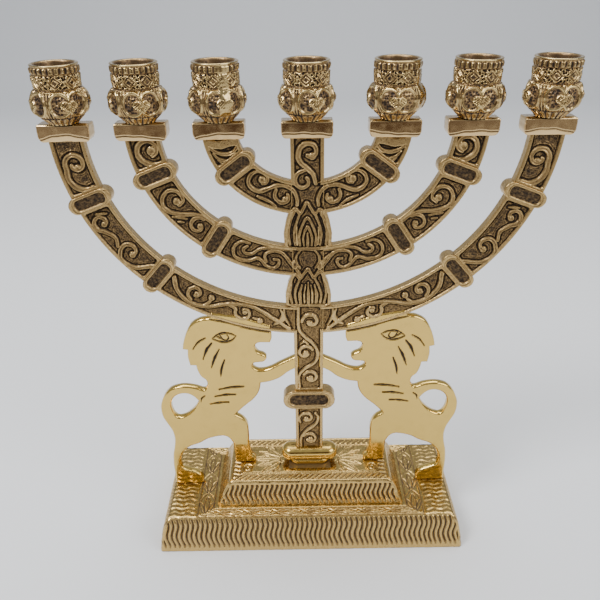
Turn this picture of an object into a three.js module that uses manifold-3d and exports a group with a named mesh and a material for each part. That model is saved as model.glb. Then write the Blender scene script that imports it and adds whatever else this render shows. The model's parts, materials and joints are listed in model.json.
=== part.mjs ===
// A seven-cup menorah in cast brass: a flat candelabrum with two lions, on a hollow two-tier base.
// Millimetres, +Z up. The origin lies on the resting plane, under the middle of the base.
// +X runs along the row of cups and -Y is the front.
import * as THREE from 'three';
import { mergeVertices } from 'three/addons/utils/BufferGeometryUtils.js';
import Module from 'manifold-3d';

// ---- driving dimensions ----
const GAP = 0.3;                      // clearance between two pieces that rest on each other

const BASE = { width: 159.8, depth: 63.2, height: 19.4, topWidth: 149.8, topDepth: 54 };
const TIER = { width: 99.2, depth: 39.2, top: 34.5, topWidth: 83.6, topDepth: 32.6 };
const BASE_WALL = 3.2;

const CASTING_T = 4.4;                // thickness of the stem and arms
const LION_T = 4.0;
const STEM_W = 14.2;
const ARM_W = 14.4;
const ARM_CENTRE_Z = 216;             // level of the centre of all three pairs of arms
// Half span and drop of each pair's centre line, inner pair first, and its knops in degrees below level.
const ARMS = [
  { span: 36.4, drop: 31.3, knops: [33] },
  { span: 68.3, drop: 61.4, knops: [19, 53.5] },
  { span: 99.6, drop: 92.3, knops: [19.5, 46.5] },
];
const END_INTO_BLOCK = 2;             // how far the stem and arms run up into their blocks
const KNOP = { length: 20, width: 7.6, depth: 6.8 };
const STEM_KNOP = { length: 26.4, width: 11, depth: 7.4, z: 77 };
const BLOCK = { width: 21.4, depth: 8.8, height: 7, chamfer: 1.4 };
const BLOCK_Z = 211.2;
const FOOT = { width: 29.8, depth: 10.8, height: 9.9, lugWidth: 22, lugDepth: 10, lugHeight: 3.3 };
const FOOT_ROUNDING = 1.6;            // rounding of the foot's top edge

const CUP_H = 23.2;
const CUP_NAMES = ['left_outer', 'left_middle', 'left_inner', 'centre',
  'right_inner', 'right_middle', 'right_outer'];
const CUP_TURNS = [35, 19, 22, 20, -4, -2, 3];   // degrees from the front to the middle of a lobe
const CUP_BORE_R = 7.5;
const CUP_SIDES = 24;
const CUP_FLOOR = 6;
const CUP_SCREW = { shank: 1.5, head: 2.75, headHeight: 2, length: 12.2, holeDepth: 6.4 };

const BASE_SCREW = { shank: 2.5, head: 4.3, headHeight: 3, length: 12, holeDepth: 8.4 };
const WASHER = { outer: 6.2, inner: 2.8, thickness: 1.2 };

const BLOCK_TOP = BLOCK_Z + BLOCK.height;
const CUP_Z = BLOCK_TOP + GAP;
const FOOT_Z = TIER.top + GAP;

// ---- finishes ----
const brass = (name, color, roughness) =>
  Object.assign(new THREE.MeshStandardMaterial({ color, roughness, metalness: 1 }), { name });
const CAST_BRASS = brass('cast_brass', 0xc2a35c, 0.35);
const BASE_BRASS = brass('base_brass', 0xc9ae6e, 0.4);
const CUP_BRASS = brass('cup_brass', 0xb59a5c, 0.4);
const SCREW_BRASS = brass('screw_brass', 0xb08d4e, 0.45);
const SCREW_STEEL = brass('screw_steel', 0x9a9a98, 0.5);

// ---- solids ----
const wasm = await Module();
wasm.setup();

// Turns a closed geometry into a solid that can be joined and cut.
function solid(geometry) {
  const plain = geometry.clone();
  plain.deleteAttribute('normal');
  plain.deleteAttribute('uv');
  const merged = mergeVertices(plain, 1e-4);
  return new wasm.Manifold(new wasm.Mesh({
    numProp: 3,
    vertProperties: new Float32Array(merged.attributes.position.array),
    triVerts: new Uint32Array(merged.index.array),
  }));
}

function geometryOf(manifold) {
  const mesh = manifold.getMesh();
  const geometry = new THREE.BufferGeometry();
  geometry.setAttribute('position', new THREE.BufferAttribute(mesh.vertProperties, 3));
  geometry.setIndex(new THREE.BufferAttribute(mesh.triVerts, 1));
  geometry.computeVertexNormals();
  return geometry;
}

const joinAll = (solids) => solids.reduce((whole, piece) => whole.add(piece));

// A flat plate standing in the XZ plane, centred on Y = 0, from an outline drawn in X and Z.
function standingPlate(shape, thickness, curveSegments = 6) {
  const settings = { depth: thickness, bevelEnabled: false, curveSegments };
  const plate = new THREE.ExtrudeGeometry(shape, settings);
  plate.translate(0, 0, -thickness / 2);
  plate.rotateX(Math.PI / 2);
  return plate;
}

function cylinder(radius, low, high, sides = 20) {
  const bar = new THREE.CylinderGeometry(radius, radius, high - low, sides);
  bar.rotateX(Math.PI / 2);
  bar.translate(0, 0, (low + high) / 2);
  return bar;
}

// A closed stack of rectangles, each given by its half width, half depth and level.
function steppedBlock(rings) {
  const positions = [];
  for (const [halfWidth, halfDepth, z] of rings) {
    positions.push(-halfWidth, -halfDepth, z, halfWidth, -halfDepth, z);
    positions.push(halfWidth, halfDepth, z, -halfWidth, halfDepth, z);
  }
  const index = [0, 2, 1, 0, 3, 2];
  for (let ring = 0; ring < rings.length - 1; ring += 1) {
    for (let side = 0; side < 4; side += 1) {
      const a = ring * 4 + side;
      const b = ring * 4 + ((side + 1) % 4);
      index.push(a, b, b + 4, a, b + 4, a + 4);
    }
  }
  const last = (rings.length - 1) * 4;
  index.push(last, last + 1, last + 2, last, last + 2, last + 3);
  const block = new THREE.BufferGeometry();
  block.setAttribute('position', new THREE.Float32BufferAttribute(positions, 3));
  block.setIndex(index);
  return block;
}

// A rectangle's outline with its corners rounded, centred on the origin.
function roundedRect(width, height, radius) {
  const [x, y] = [width / 2, height / 2];
  const shape = new THREE.Shape();
  shape.moveTo(-x + radius, -y);
  shape.lineTo(x - radius, -y);
  shape.absarc(x - radius, -y + radius, radius, -Math.PI / 2, 0);
  shape.lineTo(x, y - radius);
  shape.absarc(x - radius, y - radius, radius, 0, Math.PI / 2);
  shape.lineTo(-x + radius, y);
  shape.absarc(-x + radius, y - radius, radius, Math.PI / 2, Math.PI);
  shape.lineTo(-x, -y + radius);
  shape.absarc(-x + radius, -y + radius, radius, Math.PI, Math.PI * 1.5);
  return shape;
}

// ---- the candelabrum ----
// A point on an arm's centre line and its outward direction, at an angle below the horizontal.
function armPoint(arm, degrees) {
  const t = THREE.MathUtils.degToRad(degrees);
  const point = new THREE.Vector2(arm.span * Math.cos(t), ARM_CENTRE_Z - arm.drop * Math.sin(t));
  const outward = new THREE.Vector2(Math.cos(t) / arm.span, -Math.sin(t) / arm.drop).normalize();
  return { point, outward };
}

// Both arms of a pair as one U-shaped plate, from block to block.
function armPair(arm) {
  const rise = ARM_CENTRE_Z - BLOCK_Z - END_INTO_BLOCK;
  const start = THREE.MathUtils.radToDeg(Math.asin(rise / arm.drop));
  const steps = Math.round(12 + arm.span / 5) * 2;
  const edge = (side) => Array.from({ length: steps + 1 }, (_, i) => {
    const { point, outward } = armPoint(arm, start + (180 - 2 * start) * (i / steps));
    return point.addScaledVector(outward, side * ARM_W / 2);
  });
  return standingPlate(new THREE.Shape([...edge(1), ...edge(-1).reverse()]), CASTING_T);
}

function knop(arm, degrees, side) {
  const { point, outward } = armPoint(arm, degrees);
  const bar = standingPlate(roundedRect(KNOP.length, KNOP.width, KNOP.width / 2 - 0.4), KNOP.depth, 5);
  bar.rotateY(-Math.atan2(outward.y, outward.x));
  bar.translate(point.x, 0, point.y);
  if (side < 0) bar.rotateZ(Math.PI);
  return bar;
}

function endBlock(x) {
  const [half, c] = [BLOCK.width / 2, BLOCK.chamfer];
  const outline = new THREE.Shape([
    [-half + c, 0], [half - c, 0], [half, c * 1.6], [half, BLOCK.height],
    [-half, BLOCK.height], [-half, c * 1.6],
  ].map(([u, v]) => new THREE.Vector2(u, v)));
  const block = standingPlate(outline, BLOCK.depth);
  block.translate(x, 0, BLOCK_Z);
  return block;
}

// The stem, with the two leafy swellings above the crossings of the middle and outer arms.
function stem() {
  const half = STEM_W / 2;
  const outline = new THREE.Shape();
  const sides = (sign) => [
    [half, FOOT_Z + FOOT.height / 2], [half, 131], [10.5, 132.5], [10.7, 137.5], [9.4, 143.5],
    [half, 149], [half, 161], [10.5, 162.5], [10.8, 168.5], [9.6, 174.5], [half, 182],
    [half, BLOCK_Z + END_INTO_BLOCK],
  ].map(([x, z]) => new THREE.Vector2(sign * x, z));
  outline.setFromPoints([...sides(1), ...sides(-1).reverse()]);
  return standingPlate(outline, CASTING_T);
}

function stemKnop() {
  const bar = standingPlate(roundedRect(STEM_KNOP.length, STEM_KNOP.width, 5), STEM_KNOP.depth, 5);
  bar.translate(0, 0, STEM_KNOP.z);
  return bar;
}

// A lying plate between two levels, from an outline drawn in X and Y.
function lyingPlate(width, depth, low, high) {
  const outline = roundedRect(width, depth, depth / 2 - 0.2);
  const settings = { depth: high - low, bevelEnabled: false, curveSegments: 8 };
  const plate = new THREE.ExtrudeGeometry(outline, settings);
  plate.translate(0, 0, low);
  return solid(plate);
}

// The foot at the bottom of the stem: an oval slab on a narrower lug.
function foot() {
  const top = FOOT_Z + FOOT.height;
  return joinAll([
    lyingPlate(FOOT.lugWidth, FOOT.lugDepth, FOOT_Z, FOOT_Z + FOOT.lugHeight + 1),
    lyingPlate(FOOT.width, FOOT.depth, FOOT_Z + FOOT.lugHeight, top - FOOT_ROUNDING),
    lyingPlate(FOOT.width - FOOT_ROUNDING, FOOT.depth - FOOT_ROUNDING, top - 1 - FOOT_ROUNDING, top),
  ]);
}

// The outline of the left lion, clockwise from where the back of its head meets the outer arm.
// Each row is one stretch: 'curve' runs smoothly through its points and 'line' has corners.
const LION_BACK = [
  ['line', [[-47.5, 125.7]]],
  ['curve', [[-51.8, 124.9], [-56.4, 122.2], [-59.4, 117.1], [-61.3, 111.4], [-61.9, 108]]],
  ['line', [[-59.5, 107.5]]],
  ['curve', [[-59.8, 103.2], [-59.1, 98.4]]],
  ['line', [[-56.2, 98.3]]],
  ['curve', [[-55.7, 95.3], [-54.3, 91.6], [-51.9, 89.1], [-51.6, 86], [-53.4, 83.3]]],
];
const LION_TAIL = [
  ['curve', [[-57.9, 84.9], [-62.4, 85.7], [-66.5, 85.4], [-70.7, 83.7], [-73.9, 80.1], [-76.2, 75],
    [-76.8, 70.6], [-76.2, 65.6], [-74.3, 61.1], [-72.4, 56.4], [-71.8, 50.9], [-72.6, 45.3],
    [-73.7, 40.3], [-74.3, 33.2], [-74.2, 27]]],
];
const LION_LEGS = [
  ['line', [[-74.3, BASE.height + GAP], [-59.2, BASE.height + GAP], [-58.7, 23]]],
  ['curve', [[-60.8, 26.4], [-65.4, 28.6], [-69, 30.6], [-70.2, 34], [-69.7, 38.1], [-67.8, 42.4],
    [-64.2, 45.8], [-58.6, 48.2], [-53.5, 51.2], [-46.5, 52.8], [-42.9, 51.3], [-40.6, 47.4]]],
  ['line', [[-40.2, FOOT_Z], [-29.4, FOOT_Z], [-29.2, 36.9]]],
  ['curve', [[-31.4, 40.2], [-32.4, 45.4], [-32.2, 51.4], [-32.2, 56.9], [-32.8, 61], [-34.9, 64.4],
    [-38.6, 67]]],
];
const LION_CHEST = [
  ['curve', [[-33.7, 72.2], [-28.9, 76.6], [-26.1, 80.6], [-24.9, 84.2], [-24.5, 87]]],
  ['curve', [[-19.7, 87.9], [-14.6, 90.2], [-10.5, 93.6], [-7.6, 95.4]]],
  ['line', [[-5, 96], [-5, 103], [-7.6, 102.3]]],
  ['curve', [[-14.3, 98.8], [-19.4, 95.9], [-23.5, 94.8], [-26.4, 95.4], [-28.3, 97.4]]],
  ['curve', [[-27.4, 99.2], [-25.3, 99.6], [-22.3, 100.1], [-20.9, 102.3], [-22.2, 104.1], [-25, 105.5],
    [-26.4, 108.4], [-25.7, 110.5], [-23.8, 111.3]]],
  ['line', [[-18.9, 111.2]]],
  ['curve', [[-18, 114.1], [-18.4, 118.2]]],
  ['line', [[-18.4, 121], [-32, 126], [-46.5, 128.5]]],
];
const LION_TAIL_HOLE = [[-56.7, 75.9], [-58.7, 78.6], [-61.2, 80.6], [-64.4, 81.1], [-67.8, 80],
  [-70.4, 77.2], [-71.3, 73], [-70.4, 68.4], [-68, 65.8], [-63.7, 67.3], [-59.4, 71.3]];

function traceStretches(path, stretches) {
  for (const [kind, points] of stretches) {
    const vectors = points.map(([x, z]) => new THREE.Vector2(x, z));
    if (kind === 'curve') path.splineThru(vectors);
    else vectors.forEach((v) => path.lineTo(v.x, v.y));
  }
}

function lion() {
  const outline = new THREE.Shape();
  outline.moveTo(-46.5, 128.5);
  [LION_BACK, LION_TAIL, LION_LEGS, LION_CHEST].forEach((part) => traceStretches(outline, part));
  const hole = new THREE.Path();
  const ring = LION_TAIL_HOLE.map(([x, z]) => new THREE.Vector2(x, z));
  hole.moveTo(ring[0].x, ring[0].y);
  hole.splineThru([...ring.slice(1), ring[0]]);
  outline.holes.push(hole);
  return standingPlate(outline, LION_T, 2);
}

const mirrored = (manifold) => manifold.mirror([1, 0, 0]);

function candelabrum(cupPlaces) {
  const leftLion = solid(lion());
  const pieces = [solid(stem()), solid(stemKnop()), foot(), leftLion, mirrored(leftLion)];
  for (const arm of ARMS) {
    pieces.push(solid(armPair(arm)));
    for (const degrees of arm.knops) {
      pieces.push(solid(knop(arm, degrees, 1)), solid(knop(arm, degrees, -1)));
    }
  }
  let casting = joinAll([...pieces, ...cupPlaces.map((x) => solid(endBlock(x)))]);
  const screwHole = cylinder(CUP_SCREW.shank + GAP, BLOCK_TOP - CUP_SCREW.holeDepth, BLOCK_TOP + 1, 16);
  for (const x of cupPlaces) casting = casting.subtract(solid(screwHole.clone().translate(x, 0, 0)));
  const baseHole = cylinder(BASE_SCREW.shank + GAP, FOOT_Z - 1, FOOT_Z + BASE_SCREW.holeDepth, 16);
  return casting.subtract(solid(baseHole));
}

// ---- the base ----
function base() {
  const outer = joinAll([
    solid(steppedBlock([
      [BASE.width / 2, BASE.depth / 2, 0], [BASE.width / 2 - 0.4, BASE.depth / 2 - 0.4, 5],
      [BASE.width / 2 - 1.6, BASE.depth / 2 - 1.6, 12], [BASE.width / 2 - 3.2, BASE.depth / 2 - 3, 17],
      [BASE.topWidth / 2, BASE.topDepth / 2, BASE.height],
    ])),
    solid(steppedBlock([
      [TIER.width / 2, TIER.depth / 2, BASE.height - 1], [TIER.width / 2, TIER.depth / 2, BASE.height],
      [TIER.topWidth / 2, TIER.topDepth / 2, TIER.top],
    ])),
  ]);
  const inset = BASE_WALL + 0.6;
  const hollow = joinAll([
    solid(steppedBlock([
      [BASE.width / 2 - BASE_WALL, BASE.depth / 2 - BASE_WALL, -1],
      [BASE.topWidth / 2 - BASE_WALL, BASE.topDepth / 2 - BASE_WALL, BASE.height - BASE_WALL],
    ])),
    solid(steppedBlock([
      [TIER.width / 2 - inset, TIER.depth / 2 - inset, BASE.height - BASE_WALL - 1],
      [TIER.width / 2 - inset, TIER.depth / 2 - inset, BASE.height],
      [TIER.topWidth / 2 - inset, TIER.topDepth / 2 - inset, TIER.top - BASE_WALL],
    ])),
  ]);
  const screwHole = cylinder(BASE_SCREW.shank + GAP, TIER.top - 3 * BASE_WALL, TIER.top + 1, 16);
  return outer.subtract(hollow).subtract(solid(screwHole));
}

// ---- the candle cups ----
// Outside and inside of the cup as radius and height above its foot, up the outside and down the inside.
const CUP_OUTSIDE = [[6, 0], [6, 1], [8.8, 3.6], [10.9, 6.6], [11.3, 9], [10.7, 11], [9.3, 12.4],
  [9.5, 17.8], [9.2, 18.6], [9.5, 19.2], [9.5, CUP_H]];
const CUP_INSIDE = [[CUP_BORE_R, CUP_H], [CUP_BORE_R, CUP_FLOOR], [CUP_SCREW.shank + GAP, CUP_FLOOR],
  [CUP_SCREW.shank + GAP, 0]];

// The four swellings round the belly: how far the wall stands proud, by angle and height.
function lobeSwelling(angle, z) {
  const round = 0.5 + 0.5 * Math.cos(4 * angle);
  const rise = Math.max(0, 1 - ((z - 7.6) / 5.2) ** 2);
  return 0.9 * rise * (round - 0.5);
}

function candleCup(turn) {
  const profile = [...CUP_OUTSIDE, ...CUP_INSIDE, CUP_OUTSIDE[0]];
  const cup = new THREE.LatheGeometry(profile.map(([r, z]) => new THREE.Vector2(r, z)), CUP_SIDES);
  cup.rotateX(Math.PI / 2);
  const place = cup.attributes.position;
  for (let i = 0; i < place.count; i += 1) {
    const [x, y, z] = [place.getX(i), place.getY(i), place.getZ(i)];
    const radius = Math.hypot(x, y);
    if (radius < CUP_BORE_R + 0.5) continue;
    const scale = 1 + lobeSwelling(Math.atan2(y, x), z) / radius;
    place.setXY(i, x * scale, y * scale);
  }
  cup.rotateZ(THREE.MathUtils.degToRad(turn));
  return cup;
}

// ---- the fasteners ----
// A pan-head screw, pointing down, with its head's underside at z = 0 and a slot across the head.
function panHeadScrew({ shank, head, headHeight, length }) {
  const profile = [[0, -length], [shank * 0.7, -length], [shank, -length + 1], [shank, 0], [head, 0],
    [head, headHeight * 0.55], [head * 0.8, headHeight * 0.9], [head * 0.45, headHeight], [0, headHeight]];
  const screw = new THREE.LatheGeometry(profile.map(([r, z]) => new THREE.Vector2(r, z)), 12);
  screw.rotateX(Math.PI / 2);
  const slot = new THREE.BoxGeometry(head * 3, head * 0.3, headHeight);
  slot.translate(0, 0, headHeight * 1.05);
  return solid(screw).subtract(solid(slot));
}

function washer() {
  const { outer, inner, thickness } = WASHER;
  return solid(cylinder(outer, 0, thickness, 24)).subtract(solid(cylinder(inner, -1, thickness + 1, 24)));
}

// ---- the assembly ----
const menorah = new THREE.Group();

function add(name, geometry, material, x = 0, z = 0) {
  const mesh = new THREE.Mesh(geometry, material);
  mesh.name = name;
  mesh.position.set(x, 0, z);
  menorah.add(mesh);
  return mesh;
}

const spans = ARMS.map((arm) => arm.span - 0.3);
const cupPlaces = [...spans.map((x) => -x).reverse(), 0, ...spans];

add('candelabrum', geometryOf(candelabrum(cupPlaces)), CAST_BRASS);
add('base', geometryOf(base()), BASE_BRASS);
cupPlaces.forEach((x, i) => {
  add(`candle_cup_${CUP_NAMES[i]}`, candleCup(CUP_TURNS[i]), CUP_BRASS, x, CUP_Z);
  const screw = geometryOf(panHeadScrew(CUP_SCREW));
  add(`cup_screw_${CUP_NAMES[i]}`, screw, SCREW_BRASS, x, CUP_Z + CUP_FLOOR + GAP);
});

const baseRoof = TIER.top - BASE_WALL;
const washerZ = baseRoof - GAP - WASHER.thickness;
add('base_washer', geometryOf(washer()), SCREW_STEEL, 0, washerZ);
const baseScrew = add('base_screw', geometryOf(panHeadScrew(BASE_SCREW)), SCREW_STEEL, 0, washerZ - GAP);
baseScrew.rotation.x = Math.PI;

export default menorah;
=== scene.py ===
"""A seven-cup menorah in cast brass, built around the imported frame.

Lengths in this script are millimetres and become metres when a mesh is made.
+Z is up, +X runs along the row of cups and -Y is the front.
"""
import json
import math

import bmesh
import bpy
import numpy as np
from mathutils import Matrix, Vector
from mathutils.geometry import delaunay_2d_cdt

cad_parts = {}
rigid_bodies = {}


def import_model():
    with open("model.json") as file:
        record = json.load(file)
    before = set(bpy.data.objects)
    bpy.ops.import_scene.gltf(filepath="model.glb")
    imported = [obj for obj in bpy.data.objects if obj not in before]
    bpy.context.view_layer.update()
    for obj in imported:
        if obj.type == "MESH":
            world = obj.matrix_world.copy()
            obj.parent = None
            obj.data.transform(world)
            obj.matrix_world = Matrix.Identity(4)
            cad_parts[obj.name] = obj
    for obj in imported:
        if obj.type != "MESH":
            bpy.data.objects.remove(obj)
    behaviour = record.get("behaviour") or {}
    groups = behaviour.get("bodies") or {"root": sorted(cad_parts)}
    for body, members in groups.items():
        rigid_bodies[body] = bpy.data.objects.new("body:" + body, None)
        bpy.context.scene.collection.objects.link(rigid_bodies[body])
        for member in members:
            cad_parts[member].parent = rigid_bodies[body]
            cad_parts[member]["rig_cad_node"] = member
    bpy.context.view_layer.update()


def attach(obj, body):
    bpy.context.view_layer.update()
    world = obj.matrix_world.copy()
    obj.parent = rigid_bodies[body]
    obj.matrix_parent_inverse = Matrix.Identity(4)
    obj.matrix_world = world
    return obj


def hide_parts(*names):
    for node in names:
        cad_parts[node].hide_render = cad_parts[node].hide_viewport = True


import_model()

MM = 0.001
PITCH = 0.24                    # spacing of the points on carved surfaces

# ---- the casting ----
CASTING_T = 4.4
STEM_HALF = 7.1
ARM_HALF = 7.2
ARM_CENTRE_Z = 216.0
ARMS = {                        # half span and drop of the centre line, knops in degrees below level
    "inner": (36.4, 31.3, (33,)),
    "middle": (68.3, 61.4, (19, 53.5)),
    "outer": (99.6, 92.3, (19.5, 46.5)),
}
KNOP = (10.0, 3.8, 3.4)         # half length, half width, half depth
STEM_KNOP = (13.2, 5.5, 3.7)
STEM_KNOP_Z = 77.0
END_INTO_BLOCK = 2              # how far the stem and arms run up into their blocks
ARM_ENDS_FROM_MIDDLE = 5.6      # where an arm ends inside the stem, from the middle
RAIL = 1.55                     # width of the raised border
CARVED = 0.95                   # depth of the ground below the border
BLOCK_Z, BLOCK_H = 211.2, 7.0
BLOCK_HALF, BLOCK_DEPTH = 10.7, 4.4         # half width and half depth
FOOT_Z, FOOT_H = 34.8, 9.9
CUP_Z = 218.5
CUP_FLOOR = 6.0
GAP = 0.3                       # clearance between pieces that rest on each other
WASHER_Z = 29.8
CUP_PLACES = [-99.3, -68.0, -36.1, 0.0, 36.1, 68.0, 99.3]
CUP_NAMES = ["left_outer", "left_middle", "left_inner", "centre", "right_inner", "right_middle",
             "right_outer"]
CUP_TURNS = [35, 19, 22, 20, -4, -2, 3]     # degrees from the front to the middle of a lobe
RUBBED_SIDES = {2: -65, 4: -28}             # cups rubbed down one side, and the way it faces


# ---- meshes ----
def add_mesh(name, points, faces, material, dark=None):
    """A mesh on the body, from points and face arrays. dark is how dark each point is, 0 to 1: patina and
    painted shade, kept as the recess attribute.
    """
    points = np.asarray(points, np.float32).reshape(-1, 3) * MM
    faces = [np.asarray(f, np.int32) for f in faces if len(f)]
    mesh = bpy.data.meshes.new(name)
    mesh.vertices.add(len(points))
    mesh.vertices.foreach_set("co", points.ravel())
    loops = np.concatenate([f.ravel() for f in faces])
    sizes = np.concatenate([np.full(len(f), f.shape[1], np.int32) for f in faces])
    mesh.loops.add(len(loops))
    mesh.loops.foreach_set("vertex_index", loops)
    mesh.polygons.add(len(sizes))
    mesh.polygons.foreach_set("loop_start", np.concatenate([[0], np.cumsum(sizes)[:-1]]).astype(np.int32))
    mesh.polygons.foreach_set("use_smooth", np.full(len(sizes), True))
    depth = mesh.attributes.new("recess", "FLOAT", "POINT")
    depth.data.foreach_set("value", np.zeros(len(points), np.float32) if dark is None
                           else np.asarray(dark, np.float32).ravel())
    mesh.update(calc_edges=True)
    mesh.validate()
    cleaner = bmesh.new()
    cleaner.from_mesh(mesh)
    bmesh.ops.recalc_face_normals(cleaner, faces=cleaner.faces)
    cleaner.to_mesh(mesh)
    cleaner.free()
    mesh.materials.append(material)
    thing = bpy.data.objects.new(name, mesh)
    bpy.context.scene.collection.objects.link(thing)
    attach(thing, "root")


def grid_faces(rows, columns, closed=False):
    """Four-sided faces of a grid of points laid out row by row, with the last column joined if closed."""
    place = np.arange(rows * columns).reshape(rows, columns)
    if closed:
        place = np.concatenate([place, place[:, :1]], axis=1)
    return np.stack([place[:-1, :-1], place[:-1, 1:], place[1:, 1:], place[1:, :-1]], -1).reshape(-1, 4)


def add_tube(name, points, material, dark=None, capped=False):
    """A mesh from rows of points that each close on themselves, with both ends filled if capped."""
    rows, columns = points.shape[:2]
    faces = [grid_faces(rows, columns, closed=True)]
    if capped:
        ring = np.arange(columns)[None, :]
        faces += [ring, ring + (rows - 1) * columns]
    add_mesh(name, points, faces, material, dark)


def smooth(t):
    t = np.clip(t, 0, 1)
    return t * t * (3 - 2 * t)


def soft_min(a, b, k):
    h = np.clip(0.5 + 0.5 * (b - a) / k, 0, 1)
    return b * (1 - h) + a * h - k * h * (1 - h)


# ---- seeded unevenness ----
def cell_value(i, j, seed):
    """A repeatable value from 0 to 1 for a whole-numbered cell."""
    wave = np.sin(i * 127.1 + j * 311.7 + seed * 74.7) * 43758.5453
    return wave - np.floor(wave)


def mottle(x, y, size, seed=0):
    """Smooth unevenness from 0 to 1 with features about size across."""
    u, v = x / size, y / size
    i, j = np.floor(u), np.floor(v)
    a, b = smooth(u - i), smooth(v - j)
    low = cell_value(i, j, seed) * (1 - a) + cell_value(i + 1, j, seed) * a
    high = cell_value(i, j + 1, seed) * (1 - a) + cell_value(i + 1, j + 1, seed) * a
    return low * (1 - b) + high * b


def punch_marks(x, y, size, seed=0):
    """Distance to the nearest of a field of uneven punch marks, as a part of the spacing."""
    u, v = x / size, y / size
    i, j = np.floor(u), np.floor(v)
    nearest = np.full(x.shape, 9.0)
    for di in (-1, 0, 1):
        for dj in (-1, 0, 1):
            a, b = i + di, j + dj
            px = a + 0.5 + 0.7 * (cell_value(a, b, seed) - 0.5)
            py = b + 0.5 + 0.7 * (cell_value(b, a, seed + 3) - 0.5)
            nearest = np.minimum(nearest, np.hypot(u - px, v - py))
    return nearest


# ---- lines ----
def coil(cx, cz, r_start, r_end, a_start, a_end, steps=16):
    """Points on a spiral, angles in degrees anticlockwise from +X as seen from the front."""
    share = np.linspace(0, 1, steps)
    angle = np.radians(a_start + (a_end - a_start) * share)
    radius = r_start + (r_end - r_start) * share
    return [(cx + r * math.cos(a), cz + r * math.sin(a)) for r, a in zip(radius, angle)]


def curve(points, step=0.35):
    """A smooth line through the points, as evenly spaced samples."""
    p = np.asarray(points, float)
    ends = np.vstack([2 * p[0] - p[1], p, 2 * p[-1] - p[-2]])
    samples = []
    for k in range(len(p) - 1):
        a, b, c, d = ends[k:k + 4]
        count = max(2, int(np.hypot(*(c - b)) / step))
        t = np.linspace(0, 1, count, endpoint=False)[:, None]
        samples.append(0.5 * (2 * b + (c - a) * t + (2 * a - 5 * b + 4 * c - d) * t ** 2
                              + (3 * b - a - 3 * c + d) * t ** 3))
    return np.vstack(samples + [p[-1:]])


def reach(x, z, line):
    """Distance from each point to a line of samples, and how far along the line, 0 to 1."""
    start, step = line[:-1], np.diff(line, axis=0)
    length2 = np.maximum((step ** 2).sum(1), 1e-9)
    best = np.full(x.shape, 1e9)
    along = np.zeros(x.shape)
    for k in range(len(start)):
        dx, dz = x - start[k, 0], z - start[k, 1]
        t = np.clip((dx * step[k, 0] + dz * step[k, 1]) / length2[k], 0, 1)
        gap = np.hypot(dx - t * step[k, 0], dz - t * step[k, 1])
        near = gap < best
        best = np.where(near, gap, best)
        along = np.where(near, (k + t) / len(start), along)
    return best, along


class Stroke:
    """A raised or cut line with a width that changes along it."""

    def __init__(self, points, wide=1.9, narrow=None, end=None, dished=True):
        self.line = curve(points)
        self.wide, self.dished = wide, dished
        self.start = narrow if narrow is not None else wide
        self.end = end if end is not None else wide

    def mirrored(self):
        twin = Stroke([(0, 0), (1, 1)], self.wide, self.start, self.end, self.dished)
        twin.line = self.line * (-1, 1)
        return twin

    def edge(self, x, z, margin=3.0):
        """Distance outside the stroke's edge, negative within it, and the share of the half width."""
        out = np.full(x.shape, 9.0)
        across = np.full(x.shape, 9.0)
        low, high = self.line.min(0) - margin, self.line.max(0) + margin
        inside = (x > low[0]) & (x < high[0]) & (z > low[1]) & (z < high[1])
        if inside.any():
            gap, along = reach(x[inside], z[inside], self.line)
            half = np.interp(along, [0, 0.5, 1], [self.start, self.wide, self.end]) / 2
            wobble = 0.26 * (mottle(x[inside], z[inside], 1.7, 31) - 0.5)
            out[inside] = gap - half + wobble
            across[inside] = (gap + wobble) / half if self.dished else 1.0
        return out, across


class Bud:
    """A round raised end."""

    def __init__(self, cx, cz, radius, tall=1.0):
        self.cx, self.cz, self.radius, self.tall = cx, cz, radius, tall

    def mirrored(self):
        return Bud(-self.cx, self.cz, self.radius, self.tall)

    def edge(self, x, z):
        gap = np.hypot(x - self.cx, (z - self.cz) / self.tall)
        return gap - self.radius, gap / self.radius


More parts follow.
